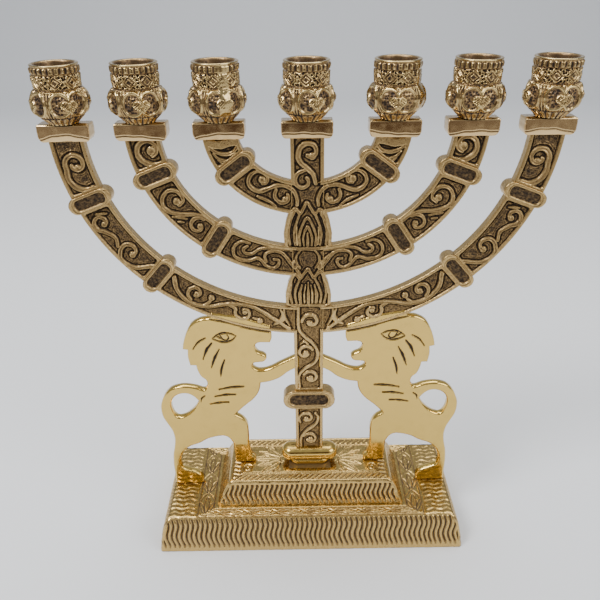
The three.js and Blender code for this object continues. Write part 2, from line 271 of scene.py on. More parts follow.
# ---- the ornament on the casting ----
# The left half's strokes. The right half mirrors them.
OUTER_STROKES = [
    Stroke([(-91.3, 190.9), (-94.8, 190.0), (-98.9, 191.4), (-101.4, 195.0)]
           + coil(-97.4, 201.4, 4.7, 1.9, 205, -160), 2.1, 2.4, 1.4),
    Bud(-96.8, 199.6, 1.5),
    Stroke(coil(-90.7, 174.9, 1.7, 4.1, -40, 275) + [(-88.4, 169.8), (-85.6, 167.6), (-85.2, 163.6)],
           1.7, 1.2, 1.3),
    Bud(-89.7, 174.2, 1.2),
    Stroke([(-92.6, 178.9), (-87.9, 179.3)], 1.2, 0.8, 0.5),
    Stroke(coil(-80.1, 161.0, 1.9, 4.4, -60, 180)
           + [(-84.9, 158.0), (-82.9, 154.9), (-78.4, 152.9), (-70.6, 153.6)], 1.9, 1.3, 1.6),
    Bud(-79.2, 159.4, 1.4),
    Stroke([(-61.7, 147.6), (-61.2, 141.8), (-58.3, 136.7), (-53.4, 133.2), (-46.5, 132.0), (-40.5, 132.9),
            (-34.6, 133.1), (-27.6, 132.0), (-22.0, 128.8), (-16.0, 124.3), (-9.4, 119.2)], 1.6, 1.9, 1.6),
    Stroke(coil(-52.6, 139.2, 4.0, 1.3, 230, -120), 1.5, 1.4, 1.1),
    Bud(-52.2, 138.8, 1.1),
    Stroke([(-49.5, 132.5), (-46.9, 134.0), (-45.6, 136.0)], 1.1, 0.9, 0.9),
    Bud(-45.4, 136.5, 1.4),
    Stroke([(-37.0, 132.6)] + coil(-30.6, 128.3, 4.5, 1.5, 150, 470), 1.5, 1.4, 1.1),
    Bud(-30.2, 128.6, 1.2),
    Stroke([(-26.4, 125.3), (-24.0, 124.2)], 1.0, 0.8, 0.8),
    Bud(-23.2, 123.6, 1.4),
    Stroke([(-13.2, 129.8), (-12.0, 126.6), (-13.2, 123.4), (-16.6, 121.4)], 2.6, 0.8, 0.6, dished=False),
    Stroke([(-11.6, 130.3), (-11.4, 125.6), (-9.2, 121.0)], 1.2, 0.8, 0.8),
]
MIDDLE_STROKES = [
    Stroke([(-60.2, 201.2), (-65.2, 200.6), (-69.2, 202.5)] + coil(-66.0, 206.8, 5.1, 2.6, 205, -60),
           2.1, 2.2, 1.6),
    Bud(-64.8, 206.6, 2.0),
    Stroke([(-55.9, 182.5), (-54.0, 184.4), (-54.5, 187.2), (-57.2, 189.3), (-60.7, 188.7), (-62.8, 185.8),
            (-62.7, 182.1), (-59.9, 179.4), (-54.9, 178.3), (-49.3, 178.2), (-45.0, 176.5), (-40.2, 172.4)],
           1.7, 1.3, 1.2),
    Bud(-56.7, 184.3, 1.5),
    Stroke(coil(-48.4, 172.8, 4.2, 1.4, 50, 380), 1.4, 1.3, 1.0),
    Bud(-47.7, 172.6, 1.1),
    Stroke([(-59.2, 177.2), (-56.0, 176.9), (-53.2, 176.2)], 1.1, 0.6, 0.6),
    Stroke([(-57.0, 174.9), (-54.6, 174.6)], 0.9, 0.6, 0.6),
    Stroke([(-26.2, 164.2), (-29.0, 165.0), (-31.8, 164.1), (-33.6, 161.7), (-33.3, 158.2), (-30.9, 156.2),
            (-26.8, 155.6), (-23.1, 156.7), (-20.9, 155.3), (-19.2, 153.0), (-16.1, 151.5), (-13.8, 152.9),
            (-13.3, 155.3), (-15.5, 155.9)], 1.4, 1.0, 1.0),
    Stroke([(-27.2, 162.8), (-29.2, 161.2), (-28.2, 159.2), (-25.3, 159.0), (-22.3, 160.9), (-18.9, 161.7),
            (-14.4, 161.4), (-7.6, 160.2)], 1.2, 1.1, 1.0),
    Stroke([(-19.1, 155.0), (-19.6, 158.0), (-17.6, 159.7), (-14.4, 160.1), (-11.3, 158.8), (-8.2, 154.4),
            (-5.6, 151.2), (-3.3, 147.1)], 1.4, 1.2, 1.1),
    Bud(-6.2, 153.2, 1.4, 1.4),
]
INNER_STROKES = [
    Stroke([(-43.0, 210.2), (-39.2, 209.0), (-36.4, 208.6), (-33.2, 209.4), (-29.6, 210.0)], 3.4, 3.0, 3.0,
           dished=False),
    Stroke([(-41.0, 208.0), (-38.6, 205.9), (-35.0, 204.7), (-31.2, 205.4), (-28.9, 208.2)], 1.5, 1.2, 1.4),
    Stroke([(-39.3, 205.0), (-36.8, 202.6), (-32.4, 201.9), (-27.9, 204.6)], 1.1, 0.8, 0.9),
    Stroke([(-37.4, 202.2), (-34.8, 200.3), (-31.6, 200.9)], 0.9, 0.6, 0.6),
    Stroke([(-19.3, 191.8), (-17.6, 192.1), (-16.9, 194.2), (-18.3, 196.3), (-21.2, 197.2), (-24.2, 195.6),
            (-25.3, 192.5), (-23.6, 189.6), (-20.4, 188.4), (-15.8, 189.9), (-12.6, 190.9), (-9.0, 190.4),
            (-6.0, 188.3), (-4.6, 184.8), (-4.7, 181.8)], 1.7, 1.2, 1.3),
    Bud(-19.3, 193.5, 1.5),
    Stroke(coil(-10.2, 186.0, 4.4, 1.7, 140, 380), 1.5, 1.3, 1.1),
    Bud(-9.7, 184.4, 1.3),
    Stroke([(-21.6, 186.0), (-17.2, 184.0), (-13.8, 181.4)], 1.1, 0.6, 0.6),
]
STEM_STROKES = [
    # below the top block
    Stroke(coil(0.9, 205.0, 1.7, 4.6, -120, 180)
           + [(-3.8, 202.8), (-2.5, 200.2), (0.3, 197.8), (2.6, 195.0), (3.6, 191.4)], 2.2, 1.5, 1.5),
    Bud(2.0, 203.3, 1.5),
    Stroke([(0.1, 198.0)] + coil(-1.8, 192.6, 4.2, 1.9, 100, 400), 1.6, 1.2, 1.2),
    # upper leafy swelling
    Stroke([(-8.4, 177.2), (-5.5, 180.3), (-3.4, 177.9), (-1.9, 180.3), (-0.3, 182.9), (1.5, 180.2),
            (3.2, 177.8), (5.4, 179.6), (8.0, 177.0)], 1.2),
    Stroke([(-5.6, 179.6), (-7.4, 175.0), (-8.7, 169.5), (-8.1, 163.2)], 1.0),
    Stroke([(5.4, 179.0), (7.2, 174.8), (8.5, 169.3), (8.1, 163.0)], 1.0),
    Stroke([(-3.6, 177.4), (-5.2, 173.0), (-6.2, 168.0), (-5.6, 163.0)], 0.9),
    Stroke([(3.3, 177.4), (5.0, 173.0), (6.0, 168.0), (5.4, 163.0)], 0.9),
    Stroke([(-3.5, 162.6), (-3.9, 167.5), (-2.4, 172.4), (-0.2, 175.8), (2.0, 172.4), (3.6, 167.5),
            (3.4, 162.6)], 0.9),
    Stroke([(-1.8, 162.6), (-2.1, 166.8), (-0.2, 171.6), (1.8, 166.8), (1.7, 162.6)], 0.8),
    Stroke([(-0.1, 168.6), (-0.1, 162.6)], 0.8, 0.4, 0.9),
    Stroke([(-4.9, 171.4), (-5.0, 167.0), (-4.6, 163.0)], 0.6, 0.4, 0.6, dished=False),
    Stroke([(4.7, 171.4), (4.8, 167.0), (4.4, 163.0)], 0.6, 0.4, 0.6, dished=False),
    # between the swellings
    Stroke([(-14.8, 162.6), (-7.5, 161.4), (0.0, 160.9), (7.5, 161.3), (14.8, 162.8)], 1.3),
    Stroke([(-3.2, 160.4), (-5.2, 157.6), (-5.5, 154.6), (-3.8, 151.4)], 1.0, 0.6, 0.8),
    Stroke([(3.0, 160.2), (4.9, 157.4), (5.1, 154.4), (3.4, 151.4)], 1.0, 0.6, 0.8),
    Bud(-6.0, 153.3, 1.5, 1.5),
    Bud(5.4, 152.6, 1.4, 1.5),
    Stroke([(9.6, 157.6), (7.4, 155.6), (6.2, 152.0), (4.6, 149.4)], 1.2, 0.8, 1.0),
    # lower leafy swelling
    Stroke([(-8.0, 147.6), (-5.6, 148.0), (-3.8, 146.1), (-2.0, 148.4), (-0.1, 150.6), (1.4, 148.4),
            (2.7, 146.5), (4.4, 148.6), (6.3, 149.5)], 1.2),
    Stroke([(-7.8, 147.0), (-7.9, 143.5), (-8.6, 138.5), (-7.7, 133.2)], 1.0),
    Stroke([(6.5, 148.8), (7.6, 144.0), (8.4, 138.6), (7.4, 133.2)], 1.0),
    Stroke([(-4.0, 145.6), (-5.6, 141.5), (-6.2, 137.5), (-5.6, 133.2)], 0.9),
    Stroke([(3.0, 146.0), (4.8, 142.0), (6.0, 137.5), (5.5, 133.2)], 0.9),
    Stroke([(-3.7, 133.4), (-4.0, 137.5), (-3.0, 142.6)], 1.5, 1.2, 0.4),
    Stroke([(3.6, 133.4), (3.9, 137.5), (2.9, 142.6)], 1.5, 1.2, 0.4),
    Stroke([(-1.8, 133.2), (-1.9, 138.0), (-1.2, 142.4)], 0.8, 0.8, 0.3, dished=False),
    Stroke([(1.8, 133.2), (1.9, 138.0), (1.2, 142.4)], 0.8, 0.8, 0.3, dished=False),
    Stroke([(0.0, 143.8), (0.0, 133.0)], 1.2, 0.4, 1.2),
    Stroke([(-9.9, 131.9), (9.9, 131.7)], 1.2),
    # long panel under the arms
    Stroke([(-4.8, 131.0), (-4.9, 124.0), (-4.5, 118.4), (-1.6, 113.9), (1.6, 110.9), (4.0, 106.9),
            (4.4, 102.7), (2.6, 98.8), (-2.4, 95.2), (-4.9, 91.2), (-4.7, 84.4)], 1.5, 1.3, 1.2),
    Stroke(coil(1.1, 123.0, 4.3, 1.6, 185, -160), 1.6, 1.4, 1.2),
    Bud(0.7, 121.8, 1.4),
    Stroke(coil(-1.7, 105.2, 3.9, 1.8, 25, 330), 1.5, 1.3, 1.1),
    Bud(-1.5, 104.6, 1.5),
    Stroke(coil(0.9, 90.2, 3.9, 1.7, 150, -160), 1.5, 1.3, 1.1),
    Bud(0.9, 89.6, 1.4),
    Stroke([(-4.0, 110.2), (-1.9, 111.6), (-0.2, 109.8)], 1.0, 0.7, 0.7),
    # short panel above the foot
    Stroke(coil(-1.2, 64.0, 1.8, 4.2, -60, 190) + [(-4.6, 61.2)], 1.4, 1.1, 0.8),
    Stroke([(3.2, 67.2), (4.6, 64.8), (3.5, 60.2), (-1.6, 55.6), (-4.4, 50.6), (-4.6, 45.2)],
           1.5, 1.2, 1.3),
    Bud(-1.6, 63.2, 1.4),
    Stroke(coil(0.4, 50.2, 3.8, 1.8, 150, -150), 1.4, 1.2, 1.1),
    Bud(0.6, 49.6, 1.4),
]
LEFT_STROKES = OUTER_STROKES + MIDDLE_STROKES + INNER_STROKES
ALL_STROKES = STEM_STROKES + LEFT_STROKES + [s.mirrored() for s in LEFT_STROKES]

# The stem's half width by level, with its two leafy swellings.
STEM_SIDE = np.array([[40, STEM_HALF], [131, STEM_HALF], [132.5, 10.5], [137.5, 10.7], [143.5, 9.4],
                      [149, STEM_HALF], [161, STEM_HALF], [162.5, 10.5], [168.5, 10.8], [174.5, 9.6],
                      [182, STEM_HALF], [218, STEM_HALF]])


def stem_half(z):
    return np.interp(z, STEM_SIDE[:, 0], STEM_SIDE[:, 1])


def arm_line(arm, first=1.0, last=179.0, count=160):
    """Points down one arm and up the other, and the unit direction outward from the bowl at each."""
    span, drop, _ = ARMS[arm]
    t = np.radians(np.linspace(first, last, count))
    point = np.stack([-span * np.cos(t), ARM_CENTRE_Z - drop * np.sin(t)], -1)
    out = np.stack([-np.cos(t) / span, -np.sin(t) / drop], -1)
    return point, out / np.hypot(out[:, 0], out[:, 1])[:, None]


def knop_places():
    """Centre, direction along the knop and half sizes of every knop on the casting."""
    places = [(np.array([0.0, STEM_KNOP_Z]), np.array([1.0, 0.0]), STEM_KNOP)]
    for arm, (span, drop, knops) in ARMS.items():
        for degrees in knops:
            t = math.radians(degrees)
            for side in (-1, 1):
                out = np.array([side * math.cos(t) / span, -math.sin(t) / drop])
                centre = np.array([side * span * math.cos(t), ARM_CENTRE_Z - drop * math.sin(t)])
                places.append((centre, out / np.hypot(*out), KNOP))
    return places


ARM_LINES = {arm: arm_line(arm)[0] for arm in ARMS}
KNOPS = knop_places()


def room_inside(x, z):
    """How far each point lies inside the outline of stem and arms, less the raised border."""
    room = stem_half(z) - np.abs(x)
    for line in ARM_LINES.values():
        gap, _ = reach(x, z, line)
        room = np.maximum(room, ARM_HALF - gap)
    room = room - RAIL
    for centre, along, (length, width, _) in KNOPS:
        u = (x - centre[0]) * along[0] + (z - centre[1]) * along[1]
        v = -(x - centre[0]) * along[1] + (z - centre[1]) * along[0]
        outside = np.hypot(np.maximum(np.abs(u) - length + width, 0), v) - width
        room = soft_min(room, outside - 0.9, 1.2)
    return room


def carve(x, z, strokes):
    """Depth below the border and darkness at each point of the casting's faces."""
    room = room_inside(x, z)
    ground = smooth(room / 0.4 + 0.5)
    cover = np.zeros(x.shape)
    trench = np.exp(-((room - 0.28) / 0.3) ** 2)
    dish = np.zeros(x.shape)
    nearest = room + 0.3
    for stroke in strokes:
        out, across = stroke.edge(x, z)
        raised = 1 - smooth(out / 0.34 + 0.35)
        dish = np.where(raised > cover, smooth(1.25 - across * 1.45), dish)
        cover = np.maximum(cover, raised)
        trench = np.maximum(trench, np.exp(-((out - 0.42) / 0.3) ** 2))
        nearest = np.minimum(nearest, out)
    low = ground * (1 - cover)
    marks = smooth(1 - punch_marks(x, z, 0.82, 5) / 0.45)
    echo = np.exp(-((nearest - 1.1 - 0.25 * mottle(x, z, 2.4, 12)) / 0.2) ** 2)
    echo = np.maximum(echo, 0.8 * np.exp(-((nearest - 1.9 - 0.3 * mottle(x, z, 2.9, 13)) / 0.2) ** 2))
    rough = 0.24 * marks + 0.34 * (mottle(x, z, 1.3, 2) - 0.5) - 0.42 * echo
    face = 0.06 * (mottle(x, z, 2.6, 8) - 0.5) + 0.03 * (mottle(x, z, 0.8, 9) - 0.5)
    hollow = 0.36 * dish * ground * cover * np.interp(z, [122, 142], [0.3, 1.0])
    depth = CARVED * low + low * (rough + 0.25 * trench) + hollow + face
    # Painted shade: the casting is painted darker upward, from z 122 to z 142.
    upper_painted_shade = np.interp(z, [122, 142], [0.0, 1.0])
    # Darkness: patina in the sunk ground and punch marks, and painted shade in the trenches along the
    # border and the strokes.
    dark = low * (0.62 + 0.3 * trench + 0.3 * marks + 0.16 * mottle(x, z, 1.1, 3) - 0.26 * echo)
    dark = dark * (0.86 + 0.14 * upper_painted_shade)
    # Painted shade in the dished middles of the strokes, stronger higher up.
    dark = dark + 0.52 * dish * ground * cover * (0.6 + 0.7 * mottle(x, z, 3.0, 4)) * (0.1 + 0.9 * upper_painted_shade)
    # Painted shade: a dark line along the outer edge of the border, and the border a little darker.
    rim_line = 0.16 * np.exp(-((room + RAIL - 0.25) / 0.25) ** 2) + 0.1 * (1 - ground)
    dark = dark + rim_line * (0.15 + 0.85 * upper_painted_shade) + 0.09 * upper_painted_shade
    return np.maximum(depth, 0), np.clip(dark, 0, 1)


def edge_profile(half, thickness, corner=0.4, steps=3, sides=5):
    """Y and inset of the points that round a plate's side from its front to its back."""
    turn = np.linspace(0, math.pi / 2, steps + 1)[1:]
    front = [(-thickness / 2 + corner * (1 - math.cos(a)), corner * (1 - math.sin(a))) for a in turn]
    flat = [(y, 0.0) for y in np.linspace(front[-1][0], -front[-1][0], sides)[1:-1]]
    back = [(-y, inset) for y, inset in reversed(front)]
    return front + flat + back


def strip(name, centre, out, half_out, half_in, strokes, material, lift=0.0):
    """A carved band along a centre line, the same on its front and its back."""
    rows = len(centre)
    corner = 0.4
    across = int(round((half_out.max() + half_in.max()) / PITCH))
    share = np.linspace(0, 1, across)[None, :]
    v = -(half_in - corner)[:, None] * (1 - share) + (half_out - corner)[:, None] * share
    x = centre[:, :1] + out[:, :1] * v
    z = centre[:, 1:] + out[:, 1:] * v
    depth, dark = carve(x, z, strokes)
    half = CASTING_T / 2 + lift
    front = np.stack([x, depth - half, z], -1)
    back = np.stack([x, half - depth, z], -1)[:, ::-1]
    profile = edge_profile(half_out, 2 * half, corner)

    def side(half_width, sign, order):
        y = np.array([p[0] for p in order])[None, :] + np.zeros((rows, 1))
        reach_out = half_width[:, None] - np.array([p[1] for p in order])[None, :]
        pits = 0.16 * (mottle(centre[:, :1] + centre[:, 1:], y, 1.3, 4) - 0.5)
        reach_out = sign * (reach_out - np.abs(pits) * (np.abs(y) < half - corner))
        return np.stack([centre[:, :1] + out[:, :1] * reach_out, y,
                         centre[:, 1:] + out[:, 1:] * reach_out], -1)

    outer = side(half_out, 1, profile)
    inner = side(half_in, -1, profile[::-1])
    points = np.concatenate([front, outer, back, inner], axis=1)
    side_dark = np.full((rows, len(profile)), 0.12)
    darkness = np.concatenate([dark, side_dark, dark[:, ::-1], side_dark], axis=1)
    add_tube(name, points, material, darkness, capped=True)


def casting_strips(material):
    """The six arms and the three lengths of the stem."""
    for arm, (span, drop, _) in ARMS.items():
        first = math.degrees(math.asin((ARM_CENTRE_Z - BLOCK_Z - END_INTO_BLOCK) / drop))
        last = math.degrees(math.acos(ARM_ENDS_FROM_MIDDLE / span))
        length = math.pi / 2 * (span + drop) / 2
        point, out = arm_line(arm, first, last, int(length / PITCH))
        half = np.full(len(point), ARM_HALF)
        for side, word in ((1, "left"), (-1, "right")):
            flip = np.array([side, 1])
            strokes = [s for s in ALL_STROKES if side * s_middle(s) < 9]
            strip(f"arm_{arm}_{word}", point * flip, out * flip, half, half, strokes, material, lift=0.02)
    near = [s for s in ALL_STROKES if abs(s_middle(s)) < 16]
    levels = (FOOT_Z + FOOT_H - 3, 131, 182, BLOCK_Z + END_INTO_BLOCK)
    for word, low, high in zip(("lower", "middle", "upper"), levels, levels[1:]):
        z = np.linspace(low, high, int((high - low) / PITCH))
        half = stem_half(z)
        sideways = np.array([[1.0, 0.0]] * len(z))
        strip(f"stem_{word}", np.stack([z * 0, z], -1), sideways, half, half, near, material)


def s_middle(stroke):
    return stroke.cx if isinstance(stroke, Bud) else stroke.line[:, 0].mean()


def stadium(length, radius, count):
    """Evenly spaced points round a capsule outline: the place on its spine and the direction outward."""
    straight = 2 * (length - radius)
    turn = math.pi * radius
    s = np.linspace(0, 2 * (straight + turn), count, endpoint=False)
    spine, angle = np.zeros(count), np.zeros(count)
    for k, place in enumerate(s):
        if place < straight:
            spine[k], angle[k] = -straight / 2 + place, math.pi / 2
        elif place < straight + turn:
            spine[k], angle[k] = straight / 2, math.pi / 2 - (place - straight) / radius
        elif place < 2 * straight + turn:
            spine[k], angle[k] = straight / 2 - (place - straight - turn), -math.pi / 2
        else:
            spine[k], angle[k] = -straight / 2, -math.pi / 2 - (place - 2 * straight - turn) / radius
    return spine, angle


def capsule_plate(name, centre, along, sizes, recess, material, seed):
    """A knop: a rounded bar with a sunk, punched face at front and back."""
    length, radius, half_depth = sizes
    spine, angle = stadium(length, radius, int(2 * (math.pi * radius + 2 * (length - radius)) / 0.32))
    corner = 0.5
    insets = np.concatenate([np.linspace(corner, radius * 0.98, int(radius / 0.2)), [radius]])
    u = spine[None, :] + (radius - insets[:, None]) * np.cos(angle)[None, :]
    v = (radius - insets[:, None]) * np.sin(angle)[None, :]
    rec_len, rec_half, rec_round = recess
    qx = np.maximum(np.abs(u) - rec_len + rec_round, 0)
    qv = np.maximum(np.abs(v) - rec_half + rec_round, 0)
    outside = np.hypot(qx, qv) - rec_round
    low = smooth(-outside / 0.35 + 0.4)
    marks = smooth(1 - punch_marks(u * 0.38 + seed * 7, v, 0.9, seed) / 0.45)
    rim = np.exp(-((outside - 0.75) / 0.22) ** 2)
    depth = low * (0.8 + 0.2 * marks + 0.25 * (mottle(u + seed, v, 1.6, seed) - 0.5)) + 0.16 * rim
    # Darkness: patina and painted shade in the sunk face, and painted shade in the groove round it.
    dark = np.clip(low * (0.8 + 0.14 * marks) + 0.45 * rim + 0.05, 0, 1)
    profile = edge_profile(radius, 2 * half_depth, corner)
    y_side = np.array([p[0] for p in profile])[:, None] + 0 * spine[None, :]
    inset_side = np.array([p[1] for p in profile])[:, None]
    wear = 0.22 * np.abs(mottle(spine[None, :] + angle * radius, y_side, 1.4, seed) - 0.5)
    u_side = spine[None, :] + (radius - inset_side - wear) * np.cos(angle)[None, :]
    v_side = (radius - inset_side - wear) * np.sin(angle)[None, :]
    u_all = np.concatenate([u[::-1], u_side, u])
    v_all = np.concatenate([v[::-1], v_side, v])
    y_all = np.concatenate([(depth - half_depth)[::-1], y_side, half_depth - depth])
    dark_all = np.concatenate([dark[::-1], np.full(u_side.shape, 0.15) + 0.5 * wear, dark])
    x = centre[0] + u_all * along[0] - v_all * along[1]
    z = centre[1] + u_all * along[1] + v_all * along[0]
    add_tube(name, np.stack([x, y_all, z], -1), material, dark_all)


# Height of the cut line under each block's face: middle level, arch and slant from left to right.
BLOCK_LINES = [(1.5, 1.5, 0.1), (1.4, 0.5, -0.9), (1.6, 0.9, 0.7), (1.9, 0.35, -0.3), (2.0, -0.5, -0.8),
               (1.5, 0.7, 0.5), (1.6, 1.1, -0.4)]


def end_block(name, cx, number, material):
    """The block under a cup: a bar with a cut line low across its polished face and a bevel under it."""
    level, arch, slant = BLOCK_LINES[number]
    rows = np.concatenate([[0, 0.12, 0.3], np.arange(0.5, BLOCK_H - 0.5, PITCH),
                           [BLOCK_H - 0.3, BLOCK_H - 0.1, BLOCK_H]])
    round_off = 1.9 * (1 - np.sqrt(np.clip(1 - (1 - np.minimum(rows / 2.9, 1)) ** 2, 0, 1)))
    half = BLOCK_HALF - round_off - 0.25 * smooth((rows - BLOCK_H + 0.4) / 0.4)
    across = int(2 * BLOCK_HALF / PITCH)
    share = np.linspace(-1, 1, across)[None, :]
    x = share * (half - 0.35)[:, None]
    z = rows[:, None] + 0 * x
    line = level + arch * np.cos(x / BLOCK_HALF * 1.9) + slant * x / BLOCK_HALF
    line = line + 0.12 * np.sin(x * 0.9 + number)
    cut = np.exp(-((z - line) / 0.2) ** 2)
    under = np.clip((line - z) / 2.4, 0, 1)
    waves = 0.12 * (mottle(x + 40 * number, z * 0.4, 8.0, number) - 0.5)
    depth = 0.45 * cut + 1.3 * under ** 1.2 + waves * (1 - under) + 0.25
    depth = depth + 0.35 * smooth((rows - BLOCK_H + 0.4) / 0.4)[:, None]
    front = np.stack([x, depth - BLOCK_DEPTH, z], -1)
    back = np.stack([x, BLOCK_DEPTH - depth, z], -1)[:, ::-1]
    profile = edge_profile(BLOCK_HALF, 2 * BLOCK_DEPTH, 0.5)
    y = np.array([p[0] for p in profile])[None, :] + np.zeros((len(rows), 1))
    pits = 0.3 * np.abs(mottle(z[:, :1] + number * 3, y, 1.5, number) - 0.5)
    width = half[:, None] - 0.7 * np.array([p[1] for p in profile])[None, :] - pits
    right = np.stack([width, y * (1 - depth[:, -1:] / BLOCK_DEPTH), rows[:, None] + 0 * y], -1)
    left = np.stack([-width, -y * (1 - depth[:, :1] / BLOCK_DEPTH), rows[:, None] + 0 * y], -1)
    points = np.concatenate([front, right, back, left], axis=1)
    points = points + np.array([cx, 0, BLOCK_Z])
    # The face above the cut line is painted a little darker than the bevel under it: painted shade.
    dark = np.clip(cut * 0.9 + 0.12 * (1 - under), 0, 1)
    side = 0.12 + 0.5 * pits
    darkness = np.concatenate([dark, side, dark[:, ::-1], side], axis=1)
    add_tube(name, points, material, darkness, capped=True)


# ---- the lions ----
LION_OUTLINE = [
    ("curve", [(-46.5, 128.5), (-47.5, 125.7), (-51.8, 124.9), (-56.4, 122.2), (-59.4, 117.1),
               (-61.3, 111.4), (-61.9, 108)]),
    ("line", [(-59.5, 107.5)]),
    ("curve", [(-59.5, 107.5), (-59.8, 103.2), (-59.1, 98.4)]),
    ("line", [(-56.2, 98.3)]),
    ("curve", [(-56.2, 98.3), (-55.7, 95.3), (-54.3, 91.6), (-51.9, 89.1), (-51.6, 86), (-53.4, 83.3),
               (-57.9, 84.9), (-62.4, 85.7), (-66.5, 85.4), (-70.7, 83.7), (-73.9, 80.1), (-76.2, 75),
               (-76.8, 70.6), (-76.2, 65.6), (-74.3, 61.1), (-72.4, 56.4), (-71.8, 50.9), (-72.6, 45.3),
               (-73.7, 40.3), (-74.3, 33.2), (-74.2, 27)]),
    ("line", [(-74.3, 19.7), (-59.2, 19.7), (-58.7, 23)]),
    ("curve", [(-58.7, 23), (-60.8, 26.4), (-65.4, 28.6), (-69, 30.6), (-70.2, 34), (-69.7, 38.1),
               (-67.8, 42.4), (-64.2, 45.8), (-58.6, 48.2), (-53.5, 51.2), (-46.5, 52.8), (-42.9, 51.3),
               (-40.6, 47.4)]),
    ("line", [(-40.2, 34.8), (-29.4, 34.8), (-29.2, 36.9)]),
    ("curve", [(-29.2, 36.9), (-31.4, 40.2), (-32.4, 45.4), (-32.2, 51.4), (-32.2, 56.9), (-32.8, 61),
               (-34.9, 64.4), (-38.6, 67)]),
    ("curve", [(-38.6, 67), (-33.7, 72.2), (-28.9, 76.6), (-26.1, 80.6), (-24.9, 84.2), (-24.5, 87)]),
    ("curve", [(-24.5, 87), (-19.7, 87.9), (-14.6, 90.2), (-10.5, 93.6), (-7.6, 95.4)]),
    ("line", [(-5, 96), (-5, 103), (-7.6, 102.3)]),
    ("curve", [(-7.6, 102.3), (-14.3, 98.8), (-19.4, 95.9), (-23.5, 94.8), (-26.4, 95.4), (-28.3, 97.4)]),
    ("curve", [(-28.3, 97.4), (-27.4, 99.2), (-25.3, 99.6), (-22.3, 100.1), (-20.9, 102.3), (-22.2, 104.1),
               (-25, 105.5), (-26.4, 108.4), (-25.7, 110.5), (-23.8, 111.3)]),
    ("line", [(-18.9, 111.2)]),
    ("curve", [(-18.9, 111.2), (-18, 114.1), (-18.4, 118.2)]),
    ("line", [(-18.4, 121), (-32, 126)]),
]
LION_HOLE = [(-56.7, 75.9), (-58.7, 78.6), (-61.2, 80.6), (-64.4, 81.1), (-67.8, 80), (-70.4, 77.2),
             (-71.3, 73), (-70.4, 68.4), (-68, 65.8), (-63.7, 67.3), (-59.4, 71.3), (-56.7, 75.9)]
LION_CUTS = [
    Stroke([(-46.9, 114.3), (-44.0, 116.6), (-40.9, 117.4), (-37.6, 116.9), (-35.2, 115.6)], 0.9, 0.4, 0.5),
    Stroke([(-46.9, 114.3), (-43.6, 112.7), (-40.3, 112.2), (-37.2, 113.4), (-35.2, 115.6)], 0.9, 0.4, 0.5),
    Stroke([(-43.1, 116.4), (-41.9, 113.8), (-40.1, 113.0), (-38.9, 114.4), (-39.6, 116.6)],
           0.75, 0.5, 0.5),
    Stroke([(-44.6, 115.6), (-42.6, 114.4)], 0.6, 0.4, 0.4),
    Stroke([(-50.3, 114.7), (-53.9, 112.3), (-56.7, 108.4)], 0.95, 0.5, 0.4),
    Stroke([(-47.4, 111.6), (-50.0, 108.0), (-52.2, 102.6)], 1.35, 0.6, 0.5),
    Stroke([(-43.9, 108.0), (-46.4, 103.2), (-48.6, 97.2)], 1.45, 0.6, 0.5),
    Stroke([(-41.7, 101.6), (-43.4, 97.0), (-44.3, 91.7)], 1.3, 0.6, 0.5),
    Stroke([(-45.8, 83.7), (-39.4, 85.0), (-33.0, 85.3)], 1.1, 0.5, 0.6),
    Stroke([(-48.2, 79.3), (-42.6, 80.3), (-37.6, 80.4)], 1.1, 0.5, 0.6),
    Stroke([(-51.1, 74.5), (-46.0, 75.4), (-41.3, 75.6)], 1.1, 0.5, 0.6),
    Stroke([(-53.3, 79.7), (-55.0, 78.2), (-55.6, 75.9)], 0.9, 0.4, 0.5),
    Stroke([(-47.5, 125.3), (-37.6, 122.9), (-28.2, 119.7), (-18.7, 117.5)], 0.9, 0.5, 0.6),
]


def outline_points(parts, step):
    points = []
    for kind, stretch in parts:
        line = curve(stretch, step) if kind == "curve" else np.asarray(stretch, float)
        for p in line:
            if not points or math.hypot(p[0] - points[-1][0], p[1] - points[-1][1]) > step * 0.3:
                points.append((float(p[0]), float(p[1])))
    dense = []
    for a, b in zip(points, points[1:] + points[:1]):
        count = max(1, int(math.dist(a, b) / step))
        shares = [k / count for k in range(count)]
        dense += [(a[0] + (b[0] - a[0]) * t, a[1] + (b[1] - a[1]) * t) for t in shares]
    return np.array(dense)


def inside_loops(x, z, loops):
    """Whether each point lies inside the first loop and outside the others."""
    inside = np.zeros(x.shape, bool)
    for loop in loops:
        a, b = loop, np.roll(loop, -1, axis=0)
        for (ax, az), (bx, bz) in zip(a, b):
            crosses = (az > z) != (bz > z)
            slope = (bx - ax) / (bz - az) if bz != az else 0.0
            inside ^= crosses & (x < ax + (z - az) * slope)
    return inside


